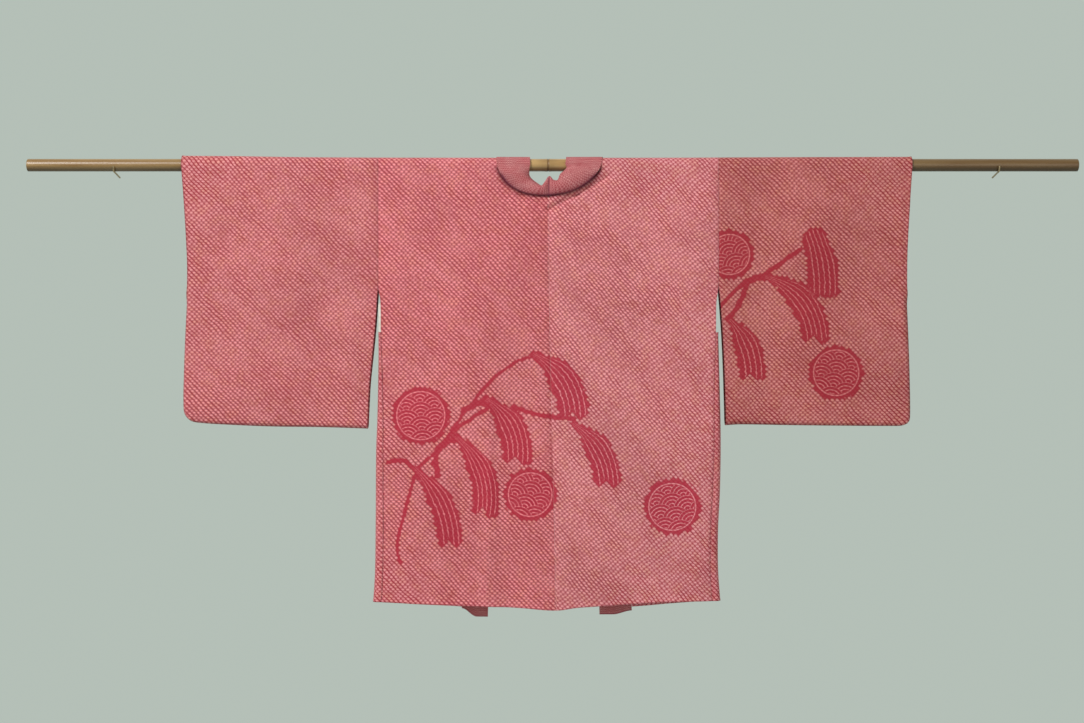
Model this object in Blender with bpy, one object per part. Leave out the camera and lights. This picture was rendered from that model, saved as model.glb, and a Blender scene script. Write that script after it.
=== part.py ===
"""A haori, the short kimono jacket, hung flat on a bamboo rod that lies on two wall hooks.

The origin is on the rod's axis, at the middle of the garment. +X runs along the rod, +Z is up,
and the garment's back faces -Y. The cloth is worked out on its pattern first. A place on the
pattern has an x, and a run that goes down the back (below 0), round the rod, and down the front.
All sizes are in millimetres, and turn into metres where a mesh is made.
"""

import math
from collections import namedtuple

import bpy

METRES = 0.001

# Rod and hooks
ROD_RADIUS = 11.5
ROD_LEFT = -928
ROD_RIGHT = 944
ROD_SIDES = 24
NODE_SPACING = 311
NODE_HALF_WIDTH = 5
NODE_RING = 1.2
NODE_GROOVE = 0.7
INTERNODE_SLIMMER = 0.4
ROD_END_ROUND = 1.2
ROD_SHARP_ANGLE = 40
HOOK_X = {"left": -772, "right": 801}
HOOK_RADIUS = 1.5
HOOK_WALL_Y = 35
HOOK_WALL_Z = -18.6
HOOK_CLEARANCE = 0.45
HOOK_STEPS = 16
HOOK_BEND = (-8, -12.6)
HOOK_BEND_RISE = 3
HOOK_TIP = [(-14.6, -7), (-15.2, -3)]

# Cloth
WALL = 1.6
COLLAR_WALL = 3.0
LINING_WALL = 1.0
SEAM_GAP = 0.3
SEAT_GAP = 0.5
CLOTH_RADIUS = ROD_RADIUS + SEAT_GAP + WALL / 2
COLLAR_LIFT = (COLLAR_WALL - WALL) / 2
OVER_ROD = math.pi * CLOTH_RADIUS

# How finely each piece is divided
BODY_COLUMNS = 11
BACK_ROWS = 19
NECK_ROWS = 7
ROD_ROWS = 8
FRONT_ROWS = 17
SLEEVE_COLUMNS = 10
SLEEVE_ROWS = 13
ROUND_ROWS = 3
GUSSET_COLUMNS = 8
COLLAR_COLUMNS = 8
COLLAR_NECK_ROWS = 24
ROW_CLOSENESS = 1.4

# Half the depth between back and front of the hung cloth: (height, half depth)
BODY_DEPTH = [(-800, 15.6), (-650, 17), (-450, 16.5), (-200, 14.5), (-60, 13.2), (0, CLOTH_RADIUS)]
SLEEVE_DEPTH = [(-470, 8), (-400, 8.5), (-200, 10.5), (-60, 12.4), (0, CLOTH_RADIUS)]
ARMHOLE_X = 303
SLEEVE_BLEND = 85

# Soft ridges (height above 0) and troughs of the hung cloth, each along a line from its upper
# end to its lower end
Fold = namedtuple("Fold", "x_top z_top x_low z_low width height")
BACK_FOLDS = [
    Fold(94, -8, 4, -69, 9, 3.2),
    Fold(70, -6, 30, -60, 9, -1.6),
    Fold(-76, -30, -3, -86, 13, -3.0),
    Fold(-120, -40, -20, -150, 26, 1.6),
    Fold(2, -70, 9, -520, 9, -1.4),
    Fold(9, -480, 16, -560, 14, -2.4),
    Fold(-103, -420, -104, -800, 12, 2.4),
    Fold(-80, -560, -72, -800, 20, -2.6),
    Fold(-215, -430, -222, -800, 46, 2.6),
    Fold(75, -430, 86, -800, 44, 3.0),
    Fold(205, -380, 214, -800, 48, -2.4),
    Fold(-300, -30, -262, -190, 22, 1.8),
    Fold(300, -30, 255, -200, 24, 2.0),
    Fold(-470, -40, -455, -420, 44, 2.2),
    Fold(-575, -60, -590, -400, 36, -1.8),
    Fold(-647, -430, -508, -455, 10, 2.2),
    Fold(455, -40, 470, -430, 46, 2.0),
    Fold(560, -70, 566, -400, 34, -1.8),
    Fold(629, -60, 631, -300, 10, 2.2),
]
FRONT_FOLDS = [
    Fold(-150, -30, -215, -800, 40, 2.8),
    Fold(-235, -300, -262, -800, 26, -2.4),
    Fold(150, -30, 228, -800, 42, 2.6),
    Fold(256, -320, 180, -800, 24, -2.4),
    Fold(-300, -30, -258, -210, 24, 2.0),
    Fold(300, -30, 262, -200, 24, 1.8),
    Fold(-480, -40, -500, -420, 42, 2.2),
    Fold(-590, -90, -570, -380, 30, -1.6),
    Fold(470, -40, 440, -420, 44, 2.2),
    Fold(585, -80, 600, -400, 32, -1.8),
]
FOLD_FREE_OF_ROD = 30

# Outlines of the hung garment. Each point is (x, z).
CENTRE_SEAM = [(14, -793), (11, -640), (6, -450), (1, -200), (0, -53.5)]
BACK_HEM = [
    (-296, -777.2), (-231, -780.8), (-179, -783.6), (-106, -786.4), (-47, -788.6), (14, -793),
    (50, -788), (94, -785), (144, -781.8), (203, -778.6), (291, -775.6),
]
NECK_SIDE = -62
NECKLINE = {
    "left": [(0, -53.5), (-32, -51.4), (-53, -45), (-73, -32.5), (-85, -17), (-91, 0)],
    "right": [(0, -53.5), (14, -52.4), (37, -47.6), (59, -38.6), (78, -25.5), (90, -12), (94.5, 0)],
}

# For each side: the panel's edge at the armhole, the underarm opening and the gusset, the outline
# of the gusset past it, and the collar's two edges from the rod down the front, all as (z, x)
Side = namedtuple("Side", "panel_edge gusset_edge collar_seam collar_edge collar_end front_hem")
SIDES = {
    "left": Side(
        panel_edge=[
            (-778, -296), (-724, -293.6), (-636, -292.6), (-508, -293), (-451, -292.8),
            (-350, -295.2), (-298, -297), (-245, -297.8), (-226, -301), (-216, -302.3),
            (-206, -302.4), (0, -302.4),
        ],
        gusset_edge=[
            (-778, -312), (-724, -308.8), (-636, -307.6), (-508, -306.7), (-451, -304.5),
            (-348, -302.4), (-298, -302.4),
        ],
        collar_seam=[(-800, -155), (-520, -139), (-250, -117), (-90, -100), (0, -93.5)],
        collar_edge=[(-800, -108), (-520, -90), (-250, -66), (-90, -45), (0, -33)],
        collar_end=(-792, -807),
        front_hem=(-779, -789),
    ),
    "right": Side(
        panel_edge=[
            (-777, 290.6), (-717, 287.4), (-649, 287.8), (-581, 291.5), (-490, 294.2),
            (-397, 294.6), (-350, 296), (-298, 297.8), (-245, 298.6), (-226, 301.4),
            (-214, 302.8), (-204, 302.9), (0, 302.9),
        ],
        gusset_edge=[
            (-777, 306.9), (-717, 303), (-649, 303), (-581, 306.3), (-490, 307.6),
            (-397, 305.8), (-348, 304.4), (-298, 302.9),
        ],
        collar_seam=[(-800, 150), (-520, 141), (-250, 124), (-90, 108), (0, 100)],
        collar_edge=[(-800, 92), (-520, 82), (-250, 62), (-90, 43), (0, 35)],
        collar_end=(-796, -803),
        front_hem=(-778, -789),
    ),
}
GUSSET_TOP = -298
GUSSET_LAST_ROW = 10

# Back of the neck, from the left shoulder to the right one. The seam and edge are the lower and
# upper lines of the collar there; roll says how far it rolls over, and bulge how far it stands out.
Neck = namedtuple("Neck", "seam_x seam_z edge_x edge_z roll bulge")
COLLAR_NECK = [
    Neck(-91, 0, -32, 0, 0, 0),
    Neck(-85, -16, -31, -12, 0.3, 2.5),
    Neck(-73, -31, -28, -23, 0.6, 4.5),
    Neck(-53, -43.5, -19.5, -33, 0.9, 6),
    Neck(-32, -50, -11, -38.5, 1, 6.5),
    Neck(-9, -52.4, -5.5, -32, 1, 6),
    Neck(1, -52.8, 2, -22, 1, 2.6),
    Neck(12, -51.2, 9, -28.5, 1, 6),
    Neck(36, -46.5, 17.5, -28.5, 1, 7),
    Neck(58, -37.5, 21.5, -17, 0.9, 6),
    Neck(77, -24.5, 25.5, -9.5, 0.6, 4.5),
    Neck(89, -11.5, 28.5, -4, 0.3, 2.5),
    Neck(94.5, 0, 30.5, 0, 0, 0),
]
# The rolled collar's section, from its seam: (share of its width, share of its bulge, inward turn)
Rolled = namedtuple("Rolled", "width bulge turn")
ROLLED_SECTION = [
    Rolled(0.01, 0, 0),
    Rolled(0.10, 0.58, 0),
    Rolled(0.32, 0.95, 0),
    Rolled(0.58, 1, 0),
    Rolled(0.82, 0.78, 0),
    Rolled(0.97, 0.30, 1),
    Rolled(1.00, 0, 5),
    Rolled(0.94, 0, 10),
    Rolled(0.78, 0, 14),
]
COLLAR_STAND = 2.6
COLLAR_STAND_RISE = 4
COLLAR_LAP = 2.2
LAP_FROM_ROLL = 0.3
LAP_ROLL_RANGE = 0.5
FULL_TURN = 8
COLLAR_END_SLANT = 1.7

# Sleeves, for each side: bottom edge from the free inner corner outwards, outer edge from the rod
# down, and inner edge from the armhole's end down, all as (x, z)
Sleeve = namedtuple("Sleeve", "inner outer bottom")
SLEEVES = {
    "left": Sleeve(
        inner=[
            (-302.4, 0), (-302.4, -206), (-302.5, -221), (-303.8, -241), (-307.4, -291),
            (-312.4, -341), (-317.4, -391), (-321.3, -469),
        ],
        outer=[
            (-652, 0), (-648, -55), (-643, -140), (-641.5, -190), (-643, -240), (-646.5, -310),
            (-649.5, -400), (-649.2, -436), (-648, -446), (-643.5, -455),
        ],
        bottom=[
            (-321.3, -469), (-400, -466.5), (-499, -465), (-590, -462), (-626, -460.3),
            (-636, -459), (-643.5, -455),
        ],
    ),
    "right": Sleeve(
        inner=[
            (302.9, 0), (302.9, -204), (303.2, -218), (306.2, -253), (309.7, -301),
            (312.6, -360), (314.5, -417), (315.6, -463),
        ],
        outer=[
            (647, 0), (642.5, -70), (638.5, -146), (638, -223), (640.5, -285), (643, -350),
            (644.5, -410), (644.6, -445), (643.8, -454), (640, -460),
        ],
        bottom=[
            (315.6, -463), (342, -461.5), (440, -463), (538, -464), (610, -464.3),
            (630, -463.8), (640, -460),
        ],
    ),
}
CUFF_BOTTOM = -222
CUFF_CLOSING = 34
FOLD_ROUND = 8

# White lining that shows past the back panel's edge in the left underarm opening
LINING_TOP = -246
LINING_BOTTOM = -297.4
LINING_SHOWS = 4
LINING_WIDTH = 13
LINING_ROWS = 5

COLOURS = {
    "crimson_cloth": (0.60, 0.13, 0.17, 0.95, 0.0),
    "collar_cloth": (0.62, 0.17, 0.20, 0.95, 0.0),
    "white_lining": (0.80, 0.77, 0.72, 0.80, 0.0),
    "bamboo": (0.46, 0.30, 0.12, 0.45, 0.0),
    "hook_metal": (0.55, 0.53, 0.50, 0.30, 1.0),
}


def mixed(first, second, share):
    return first + (second - first) * share


def eased(share):
    """0 to 1 with a level start and end."""
    share = min(max(share, 0), 1)
    return share * share * (3 - 2 * share)


class Line:
    """A smooth line through rows of numbers that stand at rising places."""

    def __init__(self, places, rows):
        self.places = list(places)
        self.rows = [tuple(row) for row in rows]
        last = len(self.places) - 1
        self.slopes = []
        for k in range(last + 1):
            before = max(k - 1, 0)
            after = min(k + 1, last)
            span = self.places[after] - self.places[before]
            ends = zip(self.rows[before], self.rows[after])
            self.slopes.append([(b - a) / span for a, b in ends])

    def at(self, place):
        places = self.places
        place = min(max(place, places[0]), places[-1])
        k = 0
        while k < len(places) - 2 and place > places[k + 1]:
            k += 1
        span = places[k + 1] - places[k]
        s = (place - places[k]) / span
        weights = (
            (1 + 2 * s) * (1 - s) ** 2,
            s * (1 - s) ** 2 * span,
            s * s * (3 - 2 * s),
            s * s * (s - 1) * span,
        )
        parts = (self.rows[k], self.slopes[k], self.rows[k + 1], self.slopes[k + 1])
        return tuple(sum(w * p for w, p in zip(weights, column)) for column in zip(*parts))


def graph(pairs):
    """A function of one number, smooth through (place, value) pairs."""
    line = Line([place for place, _ in pairs], [(value,) for _, value in pairs])
    return lambda place: line.at(place)[0]


def outline(points):
    """A function of the share of length, from 0 to 1, along a smooth line through points."""
    steps = [math.dist(a, b) for a, b in zip(points, points[1:])]
    whole = sum(steps)
    places = [sum(steps[:k]) / whole for k in range(len(points))]
    return Line(places, points).at


body_depth = graph(BODY_DEPTH)
sleeve_depth = graph(SLEEVE_DEPTH)
back_hem = graph(BACK_HEM)
centre_seam = graph([(z, x) for x, z in CENTRE_SEAM])


def fold_height(folds, x, z):
    """Height of the cloth's ridges and troughs at a place, level again where it meets the rod."""
    total = 0
    for fold in folds:
        along_x = fold.x_low - fold.x_top
        along_z = fold.z_low - fold.z_top
        length = math.hypot(along_x, along_z)
        from_x = x - fold.x_top
        from_z = z - fold.z_top
        along = (from_x * along_x + from_z * along_z) / length
        across = (from_x * along_z - from_z * along_x) / length
        end = min(3 * fold.width, length / 3)
        taper = eased((along + end / 2) / end) * eased((length - along + end) / end)
        total += fold.height * taper * math.exp(-((across / fold.width) ** 2))
    return total * eased(-z / FOLD_FREE_OF_ROD)


def depth(folds, x, z):
    """Distance of the cloth's middle from the rod's plane, in the body and in the sleeves."""
    sleeve_share = eased((abs(x) - ARMHOLE_X) / SLEEVE_BLEND)
    return mixed(body_depth(z), sleeve_depth(z), sleeve_share) + fold_height(folds, x, z)


def hung(x, run, lift=0, flatness=1):
    """Place in space of a point of the pattern. Lift moves it outwards, and a flatness under 1
    brings back and front together, as at a sewn edge."""
    if run <= 0:
        return x, -(depth(BACK_FOLDS, x, run) * flatness + lift), run
    if run >= OVER_ROD:
        z = OVER_ROD - run
        return x, depth(FRONT_FOLDS, x, z) * flatness + lift, z
    angle = run / CLOTH_RADIUS
    radius = CLOTH_RADIUS + lift
    return x, -radius * math.cos(angle), radius * math.sin(angle)


def make_material(name):
    """Plain finish with the colour, roughness and metal share of its row."""
    red, green, blue, roughness, metallic = COLOURS[name]
    material = bpy.data.materials.get(name) or bpy.data.materials.new(name)
    material.use_nodes = True
    shader = material.node_tree.nodes["Principled BSDF"]
    shader.inputs["Base Color"].default_value = (red, green, blue, 1)
    shader.inputs["Roughness"].default_value = roughness
    shader.inputs["Metallic"].default_value = metallic
    return material


def add_object(name, data, material):
    data.materials.append(make_material(material))
    made = bpy.data.objects.new(name, data)
    bpy.context.collection.objects.link(made)
    return made


def add_cloth(name, grid, material, wall, twins=()):
    """A sheet through a grid of points, given a wall. Twins are pairs of grid places, (row, column),
    that are the same point of the sheet."""
    columns = len(grid[0])
    points = [tuple(c * METRES for c in point) for row in grid for point in row]
    same = {}
    for (row, column), (other_row, other_column) in twins:
        same[other_row * columns + other_column] = row * columns + column
    kept = [k for k in range(len(points)) if k not in same]
    number = {k: n for n, k in enumerate(kept)}
    number.update({k: number[first] for k, first in same.items()})
    faces = []
    for row in range(len(grid) - 1):
        for column in range(columns - 1):
            first = row * columns + column
            corners = (first, first + 1, first + columns + 1, first + columns)
            face = list(dict.fromkeys(number[k] for k in corners))
            if len(face) > 2:
                faces.append(face)
    mesh = bpy.data.meshes.new(name)
    mesh.from_pydata([points[k] for k in kept], [], faces)
    mesh.shade_smooth()
    cloth = add_object(name, mesh, material)
    thick = cloth.modifiers.new("wall", "SOLIDIFY")
    thick.thickness = wall * METRES
    thick.offset = 0
    return cloth


def back_share(row):
    """Share of the way from the hem to the neck, with rows closer together near the neck."""
    return 1 - (1 - row / BACK_ROWS) ** ROW_CLOSENESS


def outward(point, distance):
    """A point of the neckline moved away from the middle of the neck."""
    x, z = point
    reach = math.hypot(x, z)
    return x * (reach + distance) / reach, z * (reach + distance) / reach


def side_heights(side):
    """Heights of a body panel's rows at its side edge, from the back hem to the rod."""
    hem = SIDES[side].panel_edge[0][0]
    back = [mixed(hem, NECK_SIDE, back_share(row)) for row in range(BACK_ROWS + 1)]
    return back + [NECK_SIDE * (1 - row / NECK_ROWS) for row in range(1, NECK_ROWS + 1)]


def add_body_panel(side):
    """Half of the body: one length of cloth from the back hem over the shoulder to the front hem."""
    form = SIDES[side]
    sign = -1 if side == "left" else 1
    edge = graph(form.panel_edge)
    neckline = outline(NECKLINE[side])
    collar_seam = graph(form.collar_seam)
    heights = side_heights(side)
    centre_hem = CENTRE_SEAM[0][1]
    centre_neck = CENTRE_SEAM[-1][1]
    ends = []
    for row, z in enumerate(heights):
        side_end = (edge(z) - sign * SEAM_GAP / 2, z)
        if row <= BACK_ROWS:
            low = mixed(centre_hem, centre_neck, back_share(row))
            inner_end = (centre_seam(low) + sign * SEAM_GAP / 2, low)
            if row == BACK_ROWS:
                inner_end = (inner_end[0], centre_neck - SEAM_GAP)
        else:
            inner_end = outward(neckline((row - BACK_ROWS) / NECK_ROWS), SEAM_GAP)
        ends.append((side_end, inner_end))
    shoulder_edge = edge(0) - sign * SEAM_GAP / 2
    for row in range(1, ROD_ROWS + 1):
        run = OVER_ROD * row / ROD_ROWS
        seam_x = mixed(NECKLINE[side][-1][0], collar_seam(0), row / ROD_ROWS)
        ends.append(((shoulder_edge, run), (seam_x + sign * SEAM_GAP, run)))
    side_hem, collar_hem = form.front_hem
    for row in range(1, FRONT_ROWS + 1):
        share = row / FRONT_ROWS
        side_z = side_hem * share
        inner_z = collar_hem * share
        side_end = (edge(side_z) - sign * SEAM_GAP / 2, OVER_ROD - side_z)
        ends.append((side_end, (collar_seam(inner_z) + sign * SEAM_GAP, OVER_ROD - inner_z)))
    grid = []
    for row, (outer, inner) in enumerate(ends):
        hem_share = (1 - back_share(row)) ** 2 if row < BACK_ROWS else 0
        points = []
        for column in range(BODY_COLUMNS + 1):
            share = column / BODY_COLUMNS
            x = mixed(outer[0], inner[0], share)
            run = mixed(outer[1], inner[1], share)
            straight_hem = mixed(form.panel_edge[0][0], centre_hem, share)
            run += hem_share * (back_hem(x) - straight_hem)
            points.append(hung(x, run))
        grid.append(points)
    return add_cloth("body_" + side, grid, "crimson_cloth", WALL)


def add_gusset(side):
    """The narrow strip that closes the side below the underarm opening, curved round from the back
    panel's edge to the front panel's."""
    form = SIDES[side]
    sign = -1 if side == "left" else 1
    seam = graph(form.panel_edge)
    silhouette = graph(form.gusset_edge)
    heights = [z for z in side_heights(side) if z < GUSSET_TOP - GUSSET_LAST_ROW] + [GUSSET_TOP]
    grid = []
    for z in heights:
        seam_x = seam(z) + sign * SEAM_GAP / 2
        reach = silhouette(z) - sign * WALL / 2 - seam_x
        back_y = -depth(BACK_FOLDS, seam_x, z)
        front_y = depth(FRONT_FOLDS, seam_x, z)
        points = []
        for column in range(GUSSET_COLUMNS + 1):
            angle = math.pi * column / GUSSET_COLUMNS
            y = mixed(back_y, front_y, eased((1 - math.cos(angle)) / 2))
            points.append((seam_x + reach * math.sin(angle), y, z))
        grid.append(points)
    return add_cloth("gusset_" + side, grid, "crimson_cloth", WALL)


def round_off(distance):
    """Share of the full half depth at a distance from a sewn edge, where the cloth turns over."""
    left = 1 - min(distance / FOLD_ROUND, 1)
    return math.sqrt(1 - left * left)


def shares_with_round_end(steps, length):
    """Shares of a length, evenly spaced and then closing up round a sewn edge at its end."""
    flat = 1 - FOLD_ROUND / length
    even = [flat * k / steps for k in range(steps + 1)]
    turns = [math.pi / 2 * k / ROUND_ROWS for k in range(1, ROUND_ROWS + 1)]
    return even + [1 - FOLD_ROUND / length * (1 - math.sin(turn)) for turn in turns]


def add_sleeve(side):
    """One sleeve, of cloth folded at the top, sewn along the bottom and round the lower corner up
    to the cuff. The cuff, armhole and inner edge are open."""
    sign = -1 if side == "left" else 1
    form = SLEEVES[side]
    inner, outer, bottom = outline(form.inner), outline(form.outer), outline(form.bottom)
    corners = [form.inner[0], form.outer[0], form.inner[-1], form.outer[-1]]
    width = abs(corners[1][0] - corners[0][0])
    length = -corners[2][1]
    across = shares_with_round_end(SLEEVE_COLUMNS, width)
    down = shares_with_round_end(SLEEVE_ROWS, length)

    def place(s, t):
        """x, z of the sleeve cloth, and how near back and front lie, at shares across and down."""
        top = (mixed(corners[0][0], corners[1][0], s), 0)
        sides = zip(top, bottom(s), inner(t), outer(t), *corners)
        x, z = (
            mixed(a, b, t) + mixed(c, d, s) - mixed(mixed(e, f, s), mixed(g, h, s), t)
            for a, b, c, d, e, f, g, h in sides
        )
        x += sign * SEAM_GAP / 2 * (1 - s)
        sewn = eased((CUFF_BOTTOM - z) / CUFF_CLOSING)
        closed = round_off((1 - t) * length) * mixed(1, round_off((1 - s) * width), sewn)
        return x, z, closed

    back = [[place(s, t) for s in across] for t in reversed(down)]
    grid = [[hung(x, z, flatness=flat) for x, z, flat in row] for row in back]
    top_row = back[-1]
    for row in range(1, ROD_ROWS):
        grid.append([hung(x, OVER_ROD * row / ROD_ROWS) for x, _, _ in top_row])
    for row in reversed(back):
        grid.append([hung(x, OVER_ROD - z, flatness=flat) for x, z, flat in row])
    last_row = len(grid) - 1
    last_column = len(across) - 1
    twins = [((0, column), (last_row, column)) for column in range(last_column + 1)]
    for row in range(1, len(back)):
        if back[row][last_column][2] == 0:
            twins.append(((row, last_column), (last_row - row, last_column)))
    return add_cloth("sleeve_" + side, grid, "crimson_cloth", WALL, twins)


def clear_of_rod(point):
    """The collar's middle kept outside the rod with its seat gap."""
    x, y, z = point
    least = CLOTH_RADIUS + COLLAR_LIFT
    reach = math.hypot(y, z)
    if reach >= least:
        return point
    return x, y * least / reach, z * least / reach


def neck_section(row):
    """Points of the collar across its width at one place round the back of the neck."""
    neck = Neck(*row)
    points = []
    for column, rolled in enumerate(ROLLED_SECTION):
        flat_share = column / COLLAR_COLUMNS
        width = mixed(flat_share, rolled.width, neck.roll)
        turn = rolled.turn * neck.roll
        x = mixed(neck.seam_x, neck.edge_x, width)
        z = mixed(neck.seam_z, neck.edge_z, width)
        lap = COLLAR_LAP * eased((neck.roll - LAP_FROM_ROLL) / LAP_ROLL_RANGE)
        z -= lap * (1 - eased(width * 2))
        stand = COLLAR_LIFT + COLLAR_STAND * min(neck.roll * COLLAR_STAND_RISE, 1)
        stand += neck.bulge * rolled.bulge
        fade = 1 - eased(turn / FULL_TURN)
        y = -depth(BACK_FOLDS, neck.seam_x, neck.seam_z) - stand * fade + turn
        points.append(clear_of_rod((x, y, z)))
    return points


def front_section(side, share):
    """Points of the collar across its width, at a share of its front length below the rod."""
    form = SIDES[side]
    seam = graph(form.collar_seam)
    edge = graph(form.collar_edge)
    seam_end, edge_end = form.collar_end
    points = []
    for column in range(COLLAR_COLUMNS + 1):
        across = column / COLLAR_COLUMNS
        low = mixed(seam_end, edge_end, eased(across * COLLAR_END_SLANT))
        z = low * share
        x = mixed(seam(z), edge(z), across)
        points.append(hung(x, OVER_ROD - z, COLLAR_LIFT))
    return points


def rod_section(side, share):
    """Points of the collar across its width, at a share of its way over the rod from the back."""
    form = SIDES[side]
    neck = COLLAR_NECK[0] if side == "left" else COLLAR_NECK[-1]
    seam_x = mixed(neck.seam_x, form.collar_seam[-1][1], share)
    edge_x = mixed(neck.edge_x, form.collar_edge[-1][1], share)
    columns = [column / COLLAR_COLUMNS for column in range(COLLAR_COLUMNS + 1)]
    return [hung(mixed(seam_x, edge_x, s), OVER_ROD * share, COLLAR_LIFT) for s in columns]


def add_collar():
    """The long band round the neck and down both front edges."""
    fronts = [row / FRONT_ROWS for row in range(FRONT_ROWS, 0, -1)]
    over = [row / ROD_ROWS for row in range(ROD_ROWS, 0, -1)]
    neck = Line(range(len(COLLAR_NECK)), COLLAR_NECK)
    steps = [(len(COLLAR_NECK) - 1) * row / COLLAR_NECK_ROWS for row in range(COLLAR_NECK_ROWS + 1)]
    grid = [front_section("left", share) for share in fronts]
    grid += [rod_section("left", share) for share in over]
    grid += [neck_section(neck.at(step)) for step in steps]
    grid += [rod_section("right", share) for share in reversed(over)]
    grid += [front_section("right", share) for share in reversed(fronts)]
    return add_cloth("collar", grid, "collar_cloth", COLLAR_WALL)


def add_lining():
    """The white edge that shows behind the back panel in the left underarm opening."""
    edge = graph(SIDES["left"].panel_edge)
    inward = WALL / 2 + SEAM_GAP + LINING_WALL / 2
    grid = []
    for row in range(LINING_ROWS + 1):
        z = mixed(LINING_TOP, LINING_BOTTOM, row / LINING_ROWS)
        outer_x = edge(z) - LINING_SHOWS * eased((row + 1) / 2)
        xs = [mixed(outer_x, outer_x + LINING_WIDTH, share) for share in (0, 0.5, 1)]
        grid.append([hung(x, z, -inward) for x in xs])
    return add_cloth("lining_left", grid, "white_lining", LINING_WALL)


def add_rod():
    """Bamboo rod, turned: a little thicker at its nodes, with a fine groove beside each."""
    nodes = [NODE_SPACING * k for k in range(-2, 3)]
    profile = [(ROD_LEFT, 0), (ROD_LEFT, ROD_RADIUS - ROD_END_ROUND - INTERNODE_SLIMMER)]
    profile.append((ROD_LEFT + ROD_END_ROUND, ROD_RADIUS - INTERNODE_SLIMMER))
    for node in nodes:
        profile.append((node - NODE_HALF_WIDTH, ROD_RADIUS - INTERNODE_SLIMMER))
        profile.append((node - NODE_RING, ROD_RADIUS))
        profile.append((node, ROD_RADIUS - NODE_GROOVE))
        profile.append((node + NODE_RING, ROD_RADIUS))
        profile.append((node + NODE_HALF_WIDTH, ROD_RADIUS - INTERNODE_SLIMMER))
    profile.append((ROD_RIGHT - ROD_END_ROUND, ROD_RADIUS - INTERNODE_SLIMMER))
    profile.append((ROD_RIGHT, ROD_RADIUS - ROD_END_ROUND - INTERNODE_SLIMMER))
    profile.append((ROD_RIGHT, 0))
    points = [(profile[0][0], 0, 0)]
    for x, radius in profile[1:-1]:
        for side in range(ROD_SIDES):
            angle = 2 * math.pi * side / ROD_SIDES
            points.append((x, radius * math.cos(angle), radius * math.sin(angle)))
    points.append((profile[-1][0], 0, 0))
    rings = len(profile) - 2
    faces = []
    for side in range(ROD_SIDES):
        after = (side + 1) % ROD_SIDES
        faces.append((0, 1 + after, 1 + side))
        for ring in range(rings - 1):
            a, b = 1 + ring * ROD_SIDES, 1 + (ring + 1) * ROD_SIDES
            faces.append((a + side, a + after, b + after, b + side))
        last = 1 + (rings - 1) * ROD_SIDES
        faces.append((last + side, last + after, len(points) - 1))
    mesh = bpy.data.meshes.new("rod")
    mesh.from_pydata([tuple(c * METRES for c in point) for point in points], [], faces)
    mesh.shade_smooth()
    mesh.set_sharp_from_angle(angle=math.radians(ROD_SHARP_ANGLE))
    return add_object("rod", mesh, "bamboo")


def add_hook(side):
    """Wall hook of bent wire: a shank that slopes up under the rod, and an upturned tip."""
    under_rod = -(ROD_RADIUS + HOOK_RADIUS + HOOK_CLEARANCE)
    rise = (under_rod - HOOK_WALL_Z) / HOOK_WALL_Y
    half_way = HOOK_WALL_Y / 2
    bend_start, bend_end = HOOK_BEND
    route = outline([
        (HOOK_WALL_Y, HOOK_WALL_Z), (half_way, HOOK_WALL_Z + rise * half_way), (0, under_rod),
        (bend_start, under_rod - rise * bend_start), (bend_end, under_rod + HOOK_BEND_RISE),
        *HOOK_TIP,
    ])
    curve = bpy.data.curves.new("hook_" + side, "CURVE")
    curve.dimensions = "3D"
    curve.bevel_depth = HOOK_RADIUS * METRES
    curve.bevel_resolution = 2
    curve.use_fill_caps = True
    spline = curve.splines.new("POLY")
    spline.points.add(HOOK_STEPS)
    for step in range(HOOK_STEPS + 1):
        y, z = route(step / HOOK_STEPS)
        place = (HOOK_X[side] * METRES, y * METRES, z * METRES, 1)
        spline.points[step].co = place
    return add_object("hook_" + side, curve, "hook_metal")


def main():
    for old in list(bpy.data.objects):
        bpy.data.objects.remove(old, do_unlink=True)
    for side in ("left", "right"):
        add_body_panel(side)
        add_gusset(side)
        add_sleeve(side)
        add_hook(side)
    add_collar()
    add_lining()
    add_rod()


main()
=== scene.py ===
"""Looks of a haori, the short kimono jacket, hung flat on a bamboo rod that lies on wall hooks.

The cloth is worked out on its pattern first. A place on the pattern has an x, and a run that goes
down the back (below 0), round the rod, and down the front. The same two numbers are its place on
the flat cloth, so that the weave follows them. Sizes are in millimetres until a mesh is made.
"""

import logging
import math
from dataclasses import dataclass
from enum import Enum
from typing import Callable, Iterable, NamedTuple, Sequence

import bpy
import numpy as np
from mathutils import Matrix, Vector


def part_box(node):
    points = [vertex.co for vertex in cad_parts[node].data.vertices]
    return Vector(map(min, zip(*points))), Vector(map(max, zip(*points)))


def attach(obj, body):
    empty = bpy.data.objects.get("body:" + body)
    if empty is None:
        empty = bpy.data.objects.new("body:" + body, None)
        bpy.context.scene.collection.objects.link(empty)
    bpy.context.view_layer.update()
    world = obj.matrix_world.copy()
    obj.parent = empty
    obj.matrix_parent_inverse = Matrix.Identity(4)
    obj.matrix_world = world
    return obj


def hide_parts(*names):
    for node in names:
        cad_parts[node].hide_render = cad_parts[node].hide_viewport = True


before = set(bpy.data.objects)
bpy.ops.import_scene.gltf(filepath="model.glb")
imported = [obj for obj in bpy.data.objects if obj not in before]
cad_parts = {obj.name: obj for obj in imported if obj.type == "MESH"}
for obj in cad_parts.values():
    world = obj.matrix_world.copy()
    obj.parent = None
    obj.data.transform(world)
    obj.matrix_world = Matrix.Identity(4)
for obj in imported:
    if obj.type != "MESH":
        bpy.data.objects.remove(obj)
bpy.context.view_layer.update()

LOG = logging.getLogger("haori")
METRES = 0.001
Array = np.ndarray
Place = tuple[float, float]


class Side(Enum):
    """Left and right as the back is seen."""

    LEFT = "left"
    RIGHT = "right"

    @property
    def sign(self) -> int:
        """-1 on the left, 1 on the right."""
        return -1 if self is Side.LEFT else 1


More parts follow.
